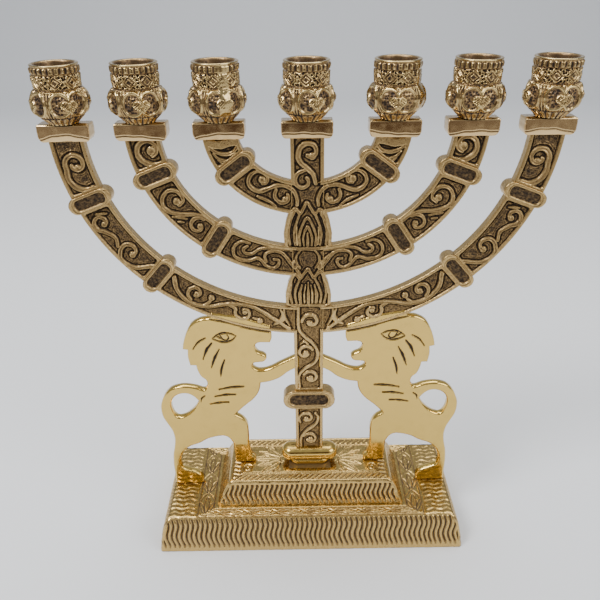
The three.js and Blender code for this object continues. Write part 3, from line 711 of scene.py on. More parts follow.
def lion(material):
    """Both lions: a flat plate with rounded edges and cut lines, meshed finely only near edges and cuts."""
    step = 0.5
    loops = [outline_points(LION_OUTLINE, step), outline_points([("curve", LION_HOLE)], step)]
    closed = [np.vstack([loop, loop[:1]]) for loop in loops]

    def rim_distance(x, z):
        return np.minimum(reach(x, z, closed[0])[0], reach(x, z, closed[1])[0])

    def cut_edge(x, z):
        return np.min([s.edge(x, z)[0] for s in LION_CUTS], axis=0)

    points = []
    for pitch, near in ((1.3, False), (0.3, True)):
        gx, gz = np.meshgrid(np.arange(-78, -4, pitch), np.arange(19, 130, pitch))
        gx, gz = gx.ravel(), gz.ravel()
        gx = gx + (cell_value(gx, gz, 1) - 0.5) * pitch * 0.2
        rim = rim_distance(gx, gz)
        keep = inside_loops(gx, gz, loops) & (rim > 0.45)
        fine = (cut_edge(gx, gz) < 0.6) | (rim < 1.1)
        keep &= fine if near else ~fine
        points.append(np.stack([gx[keep], gz[keep]], -1))
    flat = np.vstack(loops + points)
    edges, start = [], 0
    for loop in loops:
        n = len(loop)
        edges += [(start + k, start + (k + 1) % n) for k in range(n)]
        start += n
    out = delaunay_2d_cdt([Vector(p) for p in flat], edges, [], 1, 1e-5)
    xz = np.array([tuple(p) for p in out[0]])
    tris = np.array([f for f in out[2] if len(f) == 3])
    middle = xz[tris].mean(1)
    tris = tris[inside_loops(middle[:, 0], middle[:, 1], loops)]
    x, z = xz[:, 0], xz[:, 1]
    rim = rim_distance(x, z)
    cut = 1 - smooth(cut_edge(x, z) / 0.3 + 0.5)
    corner = 0.7
    round_off = corner - np.sqrt(np.clip(corner ** 2 - np.maximum(corner - rim, 0) ** 2, 0, None))
    depth = 0.45 * cut + round_off + 0.1 * (mottle(x, z, 9, 3) - 0.5)
    half = 2.0
    count = len(xz)
    front = np.stack([x, depth - half, z], -1)
    back = np.stack([x, half - depth, z], -1)
    faces = [tris, tris[:, ::-1] + count]
    used = {}
    for tri in tris:
        for a, b in ((tri[0], tri[1]), (tri[1], tri[2]), (tri[2], tri[0])):
            used[(a, b)] = used.get((a, b), 0) + 1
    rim_edges = [(a, b) for (a, b) in used if (b, a) not in used]
    faces.append(np.array([(a, b, b + count, a + count) for a, b in rim_edges]))
    dark = np.concatenate([cut, cut])
    for side, word in ((1, "left"), (-1, "right")):
        body = np.concatenate([front, back]) * np.array([side, 1, 1])
        add_mesh(f"lion_{word}", body, faces, material, dark)


# ---- the base ----
# Half width, half depth and level of each ring up a slope.
BASE_RINGS = [(79.9, 31.6, 0.0), (79.9, 31.6, 1.6), (79.5, 31.2, 5.0), (78.9, 30.6, 8.6),
              (78.2, 29.9, 12.0), (77.4, 29.2, 14.8), (76.6, 28.5, 17.0), (75.7, 27.7, 18.6),
              (74.6, 26.8, 19.4)]
LEDGE_Z = 19.4
TIER_RINGS = [(49.6, 19.6, 19.4), (49.2, 19.3, 20.6), (48.0, 18.9, 23.4), (46.4, 18.3, 27.2),
              (44.6, 17.6, 30.8), (43.2, 17.0, 33.2), (42.3, 16.6, 34.3), (41.5, 15.9, 34.6)]
TIER_TOP = 34.5
LEAF_REPEAT = 15.0              # length of one pointed oval on the ledge


def ring_outline(half_x, half_y, radius, counts):
    """Points round a rectangle with rounded corners, a set number along each side and corner."""
    along_x, along_y, around = counts
    points, tangent = [], []
    corners = [(1, -1, -90), (1, 1, 0), (-1, 1, 90), (-1, -1, 180)]
    for k, (sx, sy, start) in enumerate(corners):
        cx, cy = sx * (half_x - radius), sy * (half_y - radius)
        for a in np.radians(np.linspace(start, start + 90, around, endpoint=False)):
            points.append((cx + radius * math.cos(a), cy + radius * math.sin(a)))
            tangent.append((math.cos(a), math.sin(a)))
        nx, ny = [(1, 0), (0, 1), (-1, 0), (0, -1)][k]
        n = along_y if nx else along_x
        end_cx, end_cy = [(half_x, half_y - radius), (-half_x + radius, half_y),
                          (-half_x, -half_y + radius), (half_x - radius, -half_y)][k]
        begin = (cx + radius * nx, cy + radius * ny)
        for t in np.linspace(0, 1, n, endpoint=False):
            points.append((begin[0] + (end_cx - begin[0]) * t, begin[1] + (end_cy - begin[1]) * t))
            tangent.append((nx, ny))
    return np.array(points), np.array(tangent)


def slope_grooves(run, rise, seed, rim):
    """Wavy upright grooves: run is the place along the side, rise the height share up the slope."""
    down = 1 - rise
    sway = -0.75 * np.sin(down * 2 * math.pi * 1.45 - 0.3) - 0.6 * down
    drift = 0.8 * (mottle(run, rise * 3, 14.0, seed) - 0.5)
    drift = drift + 0.25 * (mottle(run, rise * 20, 3.0, seed + 5) - 0.5)
    phase = (run + sway + drift) / 2.6
    groove = (0.5 + 0.5 * np.cos(2 * math.pi * phase)) ** 1.5
    within = smooth(rise / 0.12 - 0.7) * smooth((1 - rise - rim) / 0.06)
    return groove * within


def base_slope(name, rings, material, seed, side_grooves, rim):
    """The grooved slope round one tier. side_grooves is how strongly the ends are cut, beside the front."""
    counts = (int(2 * rings[0][0] / 0.32), int(2 * rings[0][1] / 0.34), 8)
    levels = np.array([r[2] for r in rings])
    z_span = levels[-1] - levels[0]
    rows = []
    t_fine = np.linspace(0, 1, int(z_span / 0.36))
    heights = levels[0] + z_span * (1 - (1 - t_fine) ** 1.35)
    for z in heights:
        hx = np.interp(z, levels, [r[0] for r in rings])
        hy = np.interp(z, levels, [r[1] for r in rings])
        rows.append((hx, hy, z))
    points, darks = [], []
    for hx, hy, z in rows:
        ring, outward = ring_outline(hx, hy, 1.6, counts)
        rise = (z - levels[0]) / z_span
        facing_y = np.abs(outward[:, 1]) > 0.9
        run = np.where(facing_y, ring[:, 0], ring[:, 1])
        cut = slope_grooves(run, np.full(run.shape, rise), seed, rim)
        strength = np.where(facing_y, 1.0, side_grooves)
        corner = hx - np.abs(ring[:, 0]) < 1.5
        strength = np.where(facing_y & corner, 0.0, strength)
        depth = 0.95 * cut * strength + 0.16 * (mottle(run, np.full(run.shape, z), 2.2, seed) - 0.5)
        ring = ring - outward * depth[:, None]
        points.append(np.column_stack([ring, np.full(len(ring), z)]))
        darks.append(cut ** 1.4 * strength * 0.95)
    add_tube(name, np.array(points), material, np.array(darks))


def lens(share, half):
    """How far inside a pointed oval: share runs 0 to 1 from tip to tip and half is its half width."""
    return half * np.sin(math.pi * np.clip(share, 0, 1)) ** 0.8


def leaf_band(run, across, width):
    """Cut lines of a chain of pointed ovals with three leaves in each. across is -1 to 1 over the band."""
    share = run / LEAF_REPEAT - np.floor(run / LEAF_REPEAT)
    v = np.abs(across) * width / 2

    def line(gap, fine=0.34):
        return np.exp(-(gap / fine) ** 2)

    chain = line(v - lens(share, width * 0.42)) * (0.75 + 0.25 * np.cos(2 * math.pi * share))
    almond = line(v - lens((share - 0.1) / 0.72, 1.35)) * (share > 0.1) * (share < 0.82)
    vein = 0.7 * line(v, 0.2) * (share > 0.16) * (share < 0.6)
    petal_axis = 0.5 + (width * 0.62) * share
    petal = np.abs(v - petal_axis) - lens((share - 0.05) / 0.55, 0.85)
    petals = line(petal) * (share > 0.06) * (share < 0.58) * (v < width * 0.42)
    edge = line(np.abs(across) * width / 2 - width * 0.45, 0.3)
    return np.maximum.reduce([chain, almond, vein, petals, edge])


def ledge_relief(x, y):
    """Depth and darkness on the ledge round the upper tier, each from 0 to 1."""
    ax, ay = np.abs(x), np.abs(y)
    wavy = 0.5 * np.cos(2 * math.pi * (ax - 61.5) / 6.8)
    phase = (y + wavy + 0.6 * (mottle(x, y, 6.0, 21) - 0.5)) / 3.0
    groove = (0.5 + 0.5 * np.cos(2 * math.pi * phase)) ** 1.3 * smooth((ax - 60.9) / 0.5)
    cut = np.where(ax > 60.6, 0.3 * groove, 0.0)
    dark = np.where(ax > 60.6, 0.34 * groove, 0.0)
    side = leaf_band(y - 5.2, (ax - 55.4) / 4.6, 9.2)
    front = leaf_band(x + 3.0, (ay - 23.6) / 2.9, 5.8)
    on_side = (ax > 50.8) & (ax < 60.0) & (ay < 26.5 - (60.0 - ax) * 0.66)
    on_front = (ay > 20.7) & (ay < 26.5) & (ax < 60.0 - (26.5 - ay) * 1.52)
    cut = np.where(on_side, 0.9 * side, np.where(on_front, front, cut))
    dark = np.where(on_side, 0.95 * side, np.where(on_front, 0.6 * front, dark))
    return cut, dark


def base_ledge(material):
    """The flat step round the upper tier."""
    x = np.arange(-74.7, 74.71, 0.33)
    y = np.arange(-26.9, 26.91, 0.33)
    gx, gy = np.meshgrid(x, y)
    cut, dark = ledge_relief(gx, gy)
    depth = 0.55 * cut + 0.2 * (mottle(gx, gy, 1.6, 6) - 0.5)
    edge = np.minimum(75.0 - np.abs(gx), 27.0 - np.abs(gy))
    z = LEDGE_Z - depth + 0.25 - 0.35 * smooth(1 - edge / 1.2)
    faces = grid_faces(len(y), len(x))
    hidden = (np.abs(gx) < 48.6) & (np.abs(gy) < 18.8)
    faces = faces[~hidden.ravel()[faces].all(1)]
    add_mesh("base_ledge", np.stack([gx, gy, z], -1), [faces], material, dark)


def top_relief(x, y):
    """Rope border and fans of leaves on top of the upper tier, and a painted reflection round the foot:
    depth and darkness, each from 0 to 1.
    """
    ex, ey = 41.8 - np.abs(x), 16.2 - np.abs(y)
    edge = np.minimum(ex, ey)
    along = np.where(ex < ey, y * np.sign(x), x * -np.sign(y))
    slant = np.where(ex < ey, 0.25, 1.0)
    twist = (along - slant * (edge - 2.9)) / 2.95
    rope = (0.5 + 0.5 * np.cos(2 * math.pi * twist)) ** 1.3
    on_rope = smooth((edge - 0.9) / 0.3) * smooth((4.9 - edge) / 0.3)
    lines = sum(np.exp(-((edge - at) / 0.22) ** 2) for at in (0.95, 4.9, 6.0))
    border = np.maximum(rope * on_rope, np.clip(lines, 0, 1))
    px = np.abs(x) - 13.5
    radius = np.hypot(px, y)
    angle = np.degrees(np.arctan2(y, px))
    petal = angle / 21.0
    off = (petal - np.round(petal)) * np.radians(21.0) * radius
    long = 18.0 * (1 - 0.0032 * np.abs(angle)) * np.where(np.round(petal) % 2 == 0, 1.0, 0.8)
    share = (radius - 2.0) / long
    half = 1.9 * np.sin(math.pi * np.clip(share, 0, 1) ** 0.75)
    outline = np.exp(-((np.abs(off) - half) / 0.3) ** 2)
    vein = 0.8 * np.exp(-(off / 0.24) ** 2) * (share > 0.12) * (share < 0.75)
    fan = np.maximum(outline, vein) * (share > 0) * (share < 1) * (np.abs(angle) < 80) * (px > 0)
    bud_gap = np.hypot(np.abs(x) - 33.4, (np.abs(y) - 6.6) / 1.3)
    buds = np.exp(-((bud_gap - 1.8) / 0.3) ** 2) + np.exp(-(bud_gap / 0.5) ** 2)
    drops_gap = np.hypot((np.abs(x) - 33.2) / 1.6, y)
    buds = buds + np.exp(-((drops_gap - 1.3) / 0.25) ** 2)
    inner = smooth((edge - 6.0) / 0.3)
    plain = smooth((14.0 - np.abs(x)) / 0.5)
    leaves = np.clip(np.maximum(fan, buds), 0, 1) * inner * (1 - plain)
    # Painted reflection: a dark patch round the foot, the foot's dark underside mirrored in the plain top.
    shade = 0.62 * smooth((11.6 - np.abs(x)) / 0.8) * smooth((7.9 - np.abs(y)) / 0.8)
    dark = np.maximum.reduce([0.72 * border ** 1.5, 0.6 * leaves, shade])
    return np.maximum(border, leaves), dark, plain * inner


def base_top(material):
    """The flat top of the upper tier, which the foot stands on."""
    x = np.arange(-41.8, 41.81, 0.3)
    y = np.arange(-16.2, 16.21, 0.3)
    gx, gy = np.meshgrid(x, y)
    cut, dark, plain = top_relief(gx, gy)
    depth = 0.6 * cut + 0.16 * (mottle(gx, gy, 1.8, 7) - 0.5) * (1 - plain)
    edge = np.minimum(41.8 - np.abs(gx), 16.2 - np.abs(gy))
    z = TIER_TOP - depth + 0.2 - 0.3 * smooth(1 - edge / 0.9)
    add_mesh("base_top", np.stack([gx, gy, z], -1), [grid_faces(len(y), len(x))], material, dark)


def base_underside(material):
    """The rim that the base stands on and the hollow inside it."""
    rings = [(79.9, 31.6, 0.0), (76.7, 28.4, 0.0), (71.6, 23.8, 16.2), (45.8, 15.8, 16.2),
             (38.0, 12.5, 31.3), (4.0, 3.0, 31.3)]
    points = []
    for half_x, half_y, z in rings:
        ring = ring_outline(half_x, half_y, 1.4, (40, 16, 6))[0]
        points.append(np.column_stack([ring, np.full(len(ring), z)]))
    points = np.array(points)
    add_tube("base_underside", points, material, np.full(points.shape[:2], 0.55))


def lathe_stadium(name, length, radius, profile, base_z, material):
    """A capsule-shaped solid from a list of insets, levels and darkness."""
    spine, angle = stadium(length, radius, 220)
    points = []
    for inset, level, _ in profile:
        x = spine + (radius - inset) * np.cos(angle)
        y = (radius - inset) * np.sin(angle)
        points.append(np.column_stack([x, y, np.full(len(spine), base_z + level)]))
    points = np.array(points)
    dark = np.array([row[2] for row in profile])[:, None] + np.zeros(points.shape[:2])
    add_tube(name, points, material, dark)


def foot(material):
    """The polished oval boss that the stem stands on, and the narrower lug under it."""
    # The third number of each row is darkness: painted shade under the slab, in the groove round its middle
    # and over its top, and at the top and foot of the lug.
    slab = [(5.0, 3.3, 0.5), (1.2, 3.3, 0.5), (0.5, 3.4, 0.4), (0.15, 3.7, 0.3), (0.0, 4.3, 0.2),
            (0.0, 5.2, 0.05), (0.12, 5.6, 0.3), (0.0, 6.0, 0.1), (0.0, 7.0, 0.1), (0.35, 8.0, 0.05),
            (0.95, 8.8, 0.1), (1.8, 9.4, 0.2), (2.8, 9.75, 0.25), (3.8, 9.88, 0.3), (5.0, 9.9, 0.35)]
    lathe_stadium("foot_boss", 14.9, 5.2, slab, FOOT_Z, material)
    lug = [(4.6, -0.3, 0.5), (0.7, -0.3, 0.5), (0.45, 0.1, 0.5), (0.15, 0.6, 0.2), (0.0, 1.3, 0.0),
           (0.0, 2.2, 0.0), (0.1, 2.6, 0.0), (0.5, 3.1, 0.25), (4.6, 3.3, 0.5)]
    lathe_stadium("foot_lug", 10.9, 5.0, lug, FOOT_Z, material)


# ---- the cups ----
# Radius and level up the outside, and down the inside with how dark each level is: painted shade, darker
# further into the cup.
CUP_OUTSIDE = [(5.9, 0.0), (6.3, 0.6), (7.4, 1.6), (8.6, 2.7), (9.5, 3.7), (10.4, 5.0), (11.0, 6.6),
               (11.2, 8.6), (11.0, 10.4), (10.4, 12.0), (9.6, 13.3), (9.15, 14.0), (9.2, 15.0),
               (9.35, 17.0), (9.3, 18.9), (9.1, 19.4), (9.35, 19.9), (9.45, 21.5), (9.3, 22.2),
               (9.45, 22.6), (9.4, 23.0), (9.0, 23.2)]
CUP_INSIDE = [(8.2, 23.15), (7.7, 22.8), (7.5, 22.2), (7.5, 14.0), (7.5, CUP_FLOOR), (1.8, CUP_FLOOR)]
CUP_INSIDE_SHADE = [0.1, 0.72, 0.78, 0.78, 0.8, 0.9]


def cup_relief(angle, z, seed):
    """Height of the ornament and darkness on a cup's wall, by angle in radians and level in mm."""
    turn = angle / (2 * math.pi)
    uneven = mottle(angle * 9.5, z, 1.5, seed) - 0.5
    # short ribs under the lip
    on_ribs = smooth((z - 19.6) / 0.4) * smooth((22.2 - z) / 0.3)
    rib = (0.5 + 0.5 * np.cos(2 * math.pi * turn * 25)) ** 0.55
    height = on_ribs * (0.7 * rib - 0.5)
    dark = on_ribs * (1 - rib) ** 0.8
    # eight diamonds, one within another, on a ground of small pits
    cells = turn * 8
    u = np.abs(cells - np.floor(cells) - 0.5) * 7.3
    v = np.abs(z - 16.6)
    on_band = smooth((z - 13.9) / 0.5) * smooth((19.5 - z) / 0.3)
    diamond = u / 3.0 + v / 2.7
    lines = np.exp(-((diamond - 0.95) / 0.11) ** 2) + 0.85 * np.exp(-((diamond - 0.46) / 0.12) ** 2)
    pits = smooth(1.35 - punch_marks(angle * 9.4, z, 1.3, seed + 30) * 2.6)
    band_high = np.where(diamond > 1.12, 0.85 - 1.1 * pits, np.maximum(lines, 0.22))
    height = height + on_band * (0.75 * band_high - 0.5)
    dark = dark + on_band * np.clip(1.05 - 1.5 * band_high, 0, 1)
    # four lobes, each a double arch round a heart on punched ground
    lobe = (turn * 4 - np.floor(turn * 4) - 0.5) * 2
    hu, hv = lobe * 8.3, z - 8.4
    side = np.abs(hu)
    on_lobe = smooth((z - 2.9) / 0.5) * smooth((14.0 - z) / 0.5)
    arch = (np.abs((side - 3.5) / 3.7) ** 2.3 + np.abs((hv - 0.1) / 4.5) ** 2.3) ** (1 / 2.3) - 1
    arch_line = 1.15 * np.exp(-((arch - 0.02) / 0.17) ** 2)
    round_top = np.hypot(side - 1.6, hv - 0.1) - 1.75
    point = np.maximum(side - (hv + 4.4) * 0.72, hv - 0.3)
    heart_gap = np.minimum(round_top, point)
    heart = (1 - smooth(heart_gap / 0.4 + 0.5)) * (1 - 0.45 * smooth(-heart_gap - 0.3))
    vein = np.exp(-(hu / 0.3) ** 2) * (hv < 1.0)
    hatch = 0.25 * np.cos(2 * math.pi * (hv + side) / 1.1) * smooth(-heart_gap / 0.5)
    crest = np.exp(-((hv - 4.9) / 0.6) ** 2) * (0.5 + 0.5 * np.cos(2 * math.pi * hu / 2.75))
    lobe_pits = smooth(1.3 - punch_marks(hu + seed * 5, hv, 1.2, seed) * 2.6)
    ground = 0.3 - 0.5 * lobe_pits
    within = np.maximum(heart - 0.75 * vein + hatch, ground)
    flute = 0.5 + 0.5 * np.cos(2 * math.pi * (np.abs(lobe) - 1) * 8.3 / 1.3)
    lobe_high = np.where(arch < 0, np.maximum(within, arch_line), np.maximum(arch_line, 0.7 * flute))
    lobe_high = np.maximum(lobe_high, 1.1 * crest)
    height = height + on_lobe * (1.05 * lobe_high - 0.6)
    dark = dark + on_lobe * np.clip(0.98 - 1.35 * lobe_high, 0, 1)
    # upright beads on the foot
    on_foot = smooth((3.3 - z) / 0.5)
    bead = (0.5 + 0.5 * np.cos(2 * math.pi * turn * 20)) ** 0.6
    height = height + on_foot * (0.5 * bead - 0.3)
    dark = dark + on_foot * (1 - bead) ** 1.2
    for level in (22.35, 19.5, 13.9, 3.1):
        line = np.exp(-((z - level) / 0.3) ** 2)
        height, dark = height - 0.3 * line, dark + 0.6 * line
    return height + 0.34 * uneven * (z < 22), np.clip(dark + 0.5 * (uneven + 0.12) * (z < 22), 0, 1)


def cup(name, cx, turn_degrees, number, material):
    """A candle cup, turned by some degrees and rubbed nearly smooth down one side if it is so listed."""
    around = 352
    angle = np.linspace(0, 2 * math.pi, around, endpoint=False)[None, :]
    outside = np.array(CUP_OUTSIDE)
    lengths = np.concatenate([[0], np.cumsum(np.hypot(*np.diff(outside, axis=0).T))])
    s = np.linspace(0, lengths[-1], 150)
    radius = np.interp(s, lengths, outside[:, 0])[:, None]
    level = np.interp(s, lengths, outside[:, 1])[:, None]
    rise = np.clip(1 - ((level - 7.8) / 5.6) ** 2, 0, None)
    swelling = 0.8 * rise * (0.5 * np.cos(4 * angle + math.pi))
    height, dark = cup_relief(angle + 0 * level, level + 0 * angle, number + 1)
    turned = angle + math.radians(turn_degrees - 45)
    if number in RUBBED_SIDES:
        facing = np.radians(RUBBED_SIDES[number])
        rubbed = smooth((np.cos(turned - facing) - 0.965 + 0.02 * mottle(level, 0 * level, 3.0, 2)) / 0.025)
        rubbed = rubbed * smooth((level - 2) / 2)
        height, dark = height * (1 - 0.85 * rubbed), dark * (1 - 0.8 * rubbed)
    r_out = radius + swelling + 0.95 * height
    out_points = np.stack([r_out * np.cos(turned), r_out * np.sin(turned), level + 0 * angle], -1)
    inside = np.array(CUP_INSIDE)
    in_points = np.stack([inside[:, :1] * np.cos(turned), inside[:, :1] * np.sin(turned),
                          inside[:, 1:] + 0 * angle], -1)
    points = np.concatenate([out_points, in_points]) + np.array([cx, 0, CUP_Z])
    darkness = np.concatenate([dark, np.array(CUP_INSIDE_SHADE)[:, None] + 0 * angle])
    add_tube(name, points, material, darkness)


# ---- the fasteners ----
# Shank radius, head radius, head height and length.
CUP_SCREW = (1.5, 2.75, 2.0, 12.2)
BASE_SCREW = (2.5, 4.3, 3.0, 12.0)
SCREW_STEPS = 72


def screw(name, cx, seat, size, upside_down, material):
    """A slotted pan-head screw with its head's underside at seat."""
    shank, head, tall, length = size
    angle = np.linspace(0, 2 * math.pi, SCREW_STEPS, endpoint=False)[None, :]
    thread_z = np.arange(-length + 1.0, -0.4, 0.12)[:, None]
    thread = shank * (0.92 + 0.08 * np.cos(2 * math.pi * thread_z / 0.8 - angle))
    top = [(head * 0.92, 0.0), (head, tall * 0.12), (head, tall * 0.5), (head * 0.94, tall * 0.72)]
    top += [(head * share, tall * (1 - 0.28 * share ** 3)) for share in np.linspace(0.84, 0.02, 16)]
    rows = [(0.05 + 0 * angle, -length + 0 * angle), (shank * 0.7 + 0 * angle, -length + 0 * angle)]
    rows += [(radius[None, :], np.full((1, SCREW_STEPS), z[0])) for radius, z in zip(thread, thread_z)]
    rows += [(r + 0 * angle, z + 0 * angle) for r, z in top]
    r = np.concatenate([row[0] for row in rows])
    z = np.concatenate([row[1] for row in rows])
    x, y = r * np.cos(angle), r * np.sin(angle)
    in_slot = (np.abs(y) < head * 0.15) & (z > tall * 0.5)
    z = np.where(in_slot, tall * 0.5, z)
    if upside_down:
        y, z = -y, -z
    points = np.stack([x + cx, y, z + seat], -1)
    add_tube(name, points, material, np.where(in_slot, 0.5, 0.15), capped=True)


def washer(name, level, material):
    """A flat steel ring from its level upward."""
    outer, inner, thick, edge = 6.2, 2.8, 1.2, 0.15
    profile = [(inner, edge), (inner + edge, 0), (outer - edge, 0), (outer, edge), (outer, thick - edge),
               (outer - edge, thick), (inner + edge, thick), (inner, thick - edge), (inner, edge)]
    angle = np.linspace(0, 2 * math.pi, SCREW_STEPS, endpoint=False)[None, :]
    r = np.array([p[0] for p in profile])[:, None]
    z = np.array([p[1] for p in profile])[:, None] + level + 0 * angle
    points = np.stack([r * np.cos(angle), r * np.sin(angle), z], -1)
    add_tube(name, points, material)


# ---- materials ----
def new_group(name, inputs, outputs):
    group = bpy.data.node_groups.new(name, "ShaderNodeTree")
    for label, kind, value in inputs:
        socket = group.interface.new_socket(label, in_out="INPUT", socket_type=kind)
        if value is not None:
            socket.default_value = value
    for label, kind in outputs:
        group.interface.new_socket(label, in_out="OUTPUT", socket_type=kind)
    return group, group.nodes.new("NodeGroupInput"), group.nodes.new("NodeGroupOutput")


def put(tree, kind, **settings):
    node = tree.nodes.new(kind)
    for key, value in settings.items():
        if key.startswith("in_"):
            node.inputs[int(key[3:])].default_value = value
        else:
            setattr(node, key, value)
    return node


def ramp(tree, stops):
    node = tree.nodes.new("ShaderNodeValToRGB")
    while len(node.color_ramp.elements) < len(stops):
        node.color_ramp.elements.new(0.5)
    for element, (position, colour) in zip(node.color_ramp.elements, stops):
        element.position = position
        element.color = (*colour, 1) if len(colour) == 3 else colour
    return node


def patina_and_shade_group():
    """Masks for old brass: how dark a point is, from patina and painted shade, a slow change of tone and
    fine scratches.
    """
    inputs = [("Recess", "NodeSocketFloat", 0.0), ("Fine", "NodeSocketFloat", 900.0),
              ("Wear", "NodeSocketFloat", 1.0)]
    outputs = [("Tarnish and shade", "NodeSocketFloat"), ("Tone", "NodeSocketFloat"),
               ("Roughness", "NodeSocketFloat"), ("Normal", "NodeSocketVector")]
    group, start, end = new_group("Old brass", inputs, outputs)
    link = group.links.new
    place = put(group, "ShaderNodeTexCoord")
    slow = put(group, "ShaderNodeTexNoise", in_2=70.0, in_3=4.0)
    fine = put(group, "ShaderNodeTexNoise", in_3=6.0)
    link(place.outputs["Object"], slow.inputs[0])
    link(place.outputs["Object"], fine.inputs[0])
    link(start.outputs["Fine"], fine.inputs[2])
    spread = put(group, "ShaderNodeMapRange", in_1=0.35, in_2=0.7, in_3=-0.12, in_4=0.16)
    link(fine.outputs[0], spread.inputs[0])
    add = put(group, "ShaderNodeMath", operation="MULTIPLY_ADD", use_clamp=True)
    link(spread.outputs[0], add.inputs[0])
    link(start.outputs["Wear"], add.inputs[1])
    link(start.outputs["Recess"], add.inputs[2])
    link(add.outputs[0], end.inputs["Tarnish and shade"])
    link(slow.outputs[0], end.inputs["Tone"])
    rough = put(group, "ShaderNodeMapRange", in_1=0.3, in_2=0.7, in_3=0.24, in_4=0.42)
    link(fine.outputs[0], rough.inputs[0])
    more = put(group, "ShaderNodeMath", operation="MULTIPLY_ADD", in_1=0.35)
    link(add.outputs[0], more.inputs[0])
    link(rough.outputs[0], more.inputs[2])
    link(more.outputs[0], end.inputs["Roughness"])
    bump = put(group, "ShaderNodeBump", in_1=0.00012)
    strength = put(group, "ShaderNodeMath", operation="MULTIPLY", in_1=0.22)
    link(start.outputs["Wear"], strength.inputs[0])
    link(strength.outputs[0], bump.inputs[0])
    link(fine.outputs[0], bump.inputs["Height"])
    link(bump.outputs[0], end.inputs["Normal"])
    return group


def brass(name, group, bright, brown, deep, gloss=0.0, fine=900.0, wear=1.0):
    material = bpy.data.materials.new(name)
    material.use_nodes = True
    tree = material.node_tree
    link = tree.links.new
    shader = tree.nodes["Principled BSDF"]
    recess = put(tree, "ShaderNodeAttribute", attribute_name="recess")
    old = put(tree, "ShaderNodeGroup", node_tree=group)
    old.inputs["Fine"].default_value = fine
    old.inputs["Wear"].default_value = wear
    link(recess.outputs["Fac"], old.inputs["Recess"])
    tone = ramp(tree, [(0.3, [c * (1 - 0.14 * wear) for c in bright]), (0.7, bright)])
    link(old.outputs["Tone"], tone.inputs[0])
    depths = ramp(tree, [(0.0, (0, 0, 0)), (0.35, (0.55, 0.55, 0.55)), (0.9, (1, 1, 1))])
    link(old.outputs["Tarnish and shade"], depths.inputs[0])
    mid = put(tree, "ShaderNodeMix", data_type="RGBA")
    link(depths.outputs[0], mid.inputs[0])
    link(tone.outputs[0], mid.inputs[6])
    mid.inputs[7].default_value = (*brown, 1)
    low = put(tree, "ShaderNodeMix", data_type="RGBA")
    deepest = put(tree, "ShaderNodeMapRange", in_1=0.55, in_2=1.0)
    link(old.outputs["Tarnish and shade"], deepest.inputs[0])
    link(deepest.outputs[0], low.inputs[0])
    link(mid.outputs[2], low.inputs[6])
    low.inputs[7].default_value = (*deep, 1)
    link(low.outputs[2], shader.inputs["Base Color"])
    metal = put(tree, "ShaderNodeMapRange", in_1=0.25, in_2=0.85, in_3=1.0, in_4=0.6)
    link(old.outputs["Tarnish and shade"], metal.inputs[0])
    link(metal.outputs[0], shader.inputs["Metallic"])
    rough = put(tree, "ShaderNodeMath", operation="SUBTRACT", use_clamp=True, in_1=gloss)
    link(old.outputs["Roughness"], rough.inputs[0])
    link(rough.outputs[0], shader.inputs["Roughness"])
    link(old.outputs["Normal"], shader.inputs["Normal"])
    return material


old_brass = patina_and_shade_group()
BROWN = (0.19, 0.112, 0.042)
DEEP = (0.022, 0.014, 0.008)
CAST = brass("Cast brass", old_brass, (0.60, 0.415, 0.175), BROWN, DEEP, gloss=0.05)
BLOCK_BRASS = brass("Block brass", old_brass, (0.74, 0.52, 0.25), BROWN, DEEP,
                    gloss=0.2, fine=250.0, wear=0.1)
POLISHED = brass("Polished brass", old_brass, (0.71, 0.485, 0.13), BROWN, DEEP,
                 gloss=0.16, fine=250.0, wear=0.12)
BASE = brass("Base brass", old_brass, (0.60, 0.41, 0.148), (0.18, 0.115, 0.06), DEEP, gloss=0.08, wear=0.5)
# A darker copy of the base brass for the upward faces of the ledge and top: painted shade against the
# bright light from above.
BASE_TOP = brass("Base top brass", old_brass, (0.56, 0.385, 0.13), (0.19, 0.12, 0.055), DEEP,
                 gloss=0.1, wear=0.35)
CUP = brass("Cup brass", old_brass, (0.56, 0.41, 0.18), (0.185, 0.10, 0.042), DEEP, gloss=0.18, wear=0.7)
SCREW_BRASS = brass("Screw brass", old_brass, (0.55, 0.39, 0.16), BROWN, DEEP, wear=0.8)
SCREW_STEEL = brass("Screw steel", old_brass, (0.52, 0.52, 0.51), (0.12, 0.11, 0.10), DEEP, wear=0.8)

# ---- build ----
casting_strips(CAST)
for number, (centre, along, sizes) in enumerate(KNOPS):
    big = sizes is STEM_KNOP
    recess = (9.8, 3.4, 3.0) if big else (7.2, 2.5, 2.2)
    capsule_plate(f"knop_{number:02d}", centre, along, sizes, recess, CAST, number + 1)
for number, x in enumerate(CUP_PLACES):
    end_block(f"end_block_{CUP_NAMES[number]}", x, number, BLOCK_BRASS)
lion(POLISHED)
foot(POLISHED)
base_slope("base_lower", BASE_RINGS, BASE, 11, 1.0, 0.0)
base_slope("base_upper", TIER_RINGS, BASE, 12, 0.25, 0.13)
base_ledge(BASE_TOP)
base_top(BASE_TOP)
base_underside(BASE)
for number, x in enumerate(CUP_PLACES):
    cup(f"cup_{CUP_NAMES[number]}", x, CUP_TURNS[number], number, CUP)
    screw(f"screw_{CUP_NAMES[number]}", x, CUP_Z + CUP_FLOOR + GAP, CUP_SCREW, False, SCREW_BRASS)
washer("washer", WASHER_Z, SCREW_STEEL)
screw("screw_base", 0.0, WASHER_Z - GAP, BASE_SCREW, True, SCREW_STEEL)

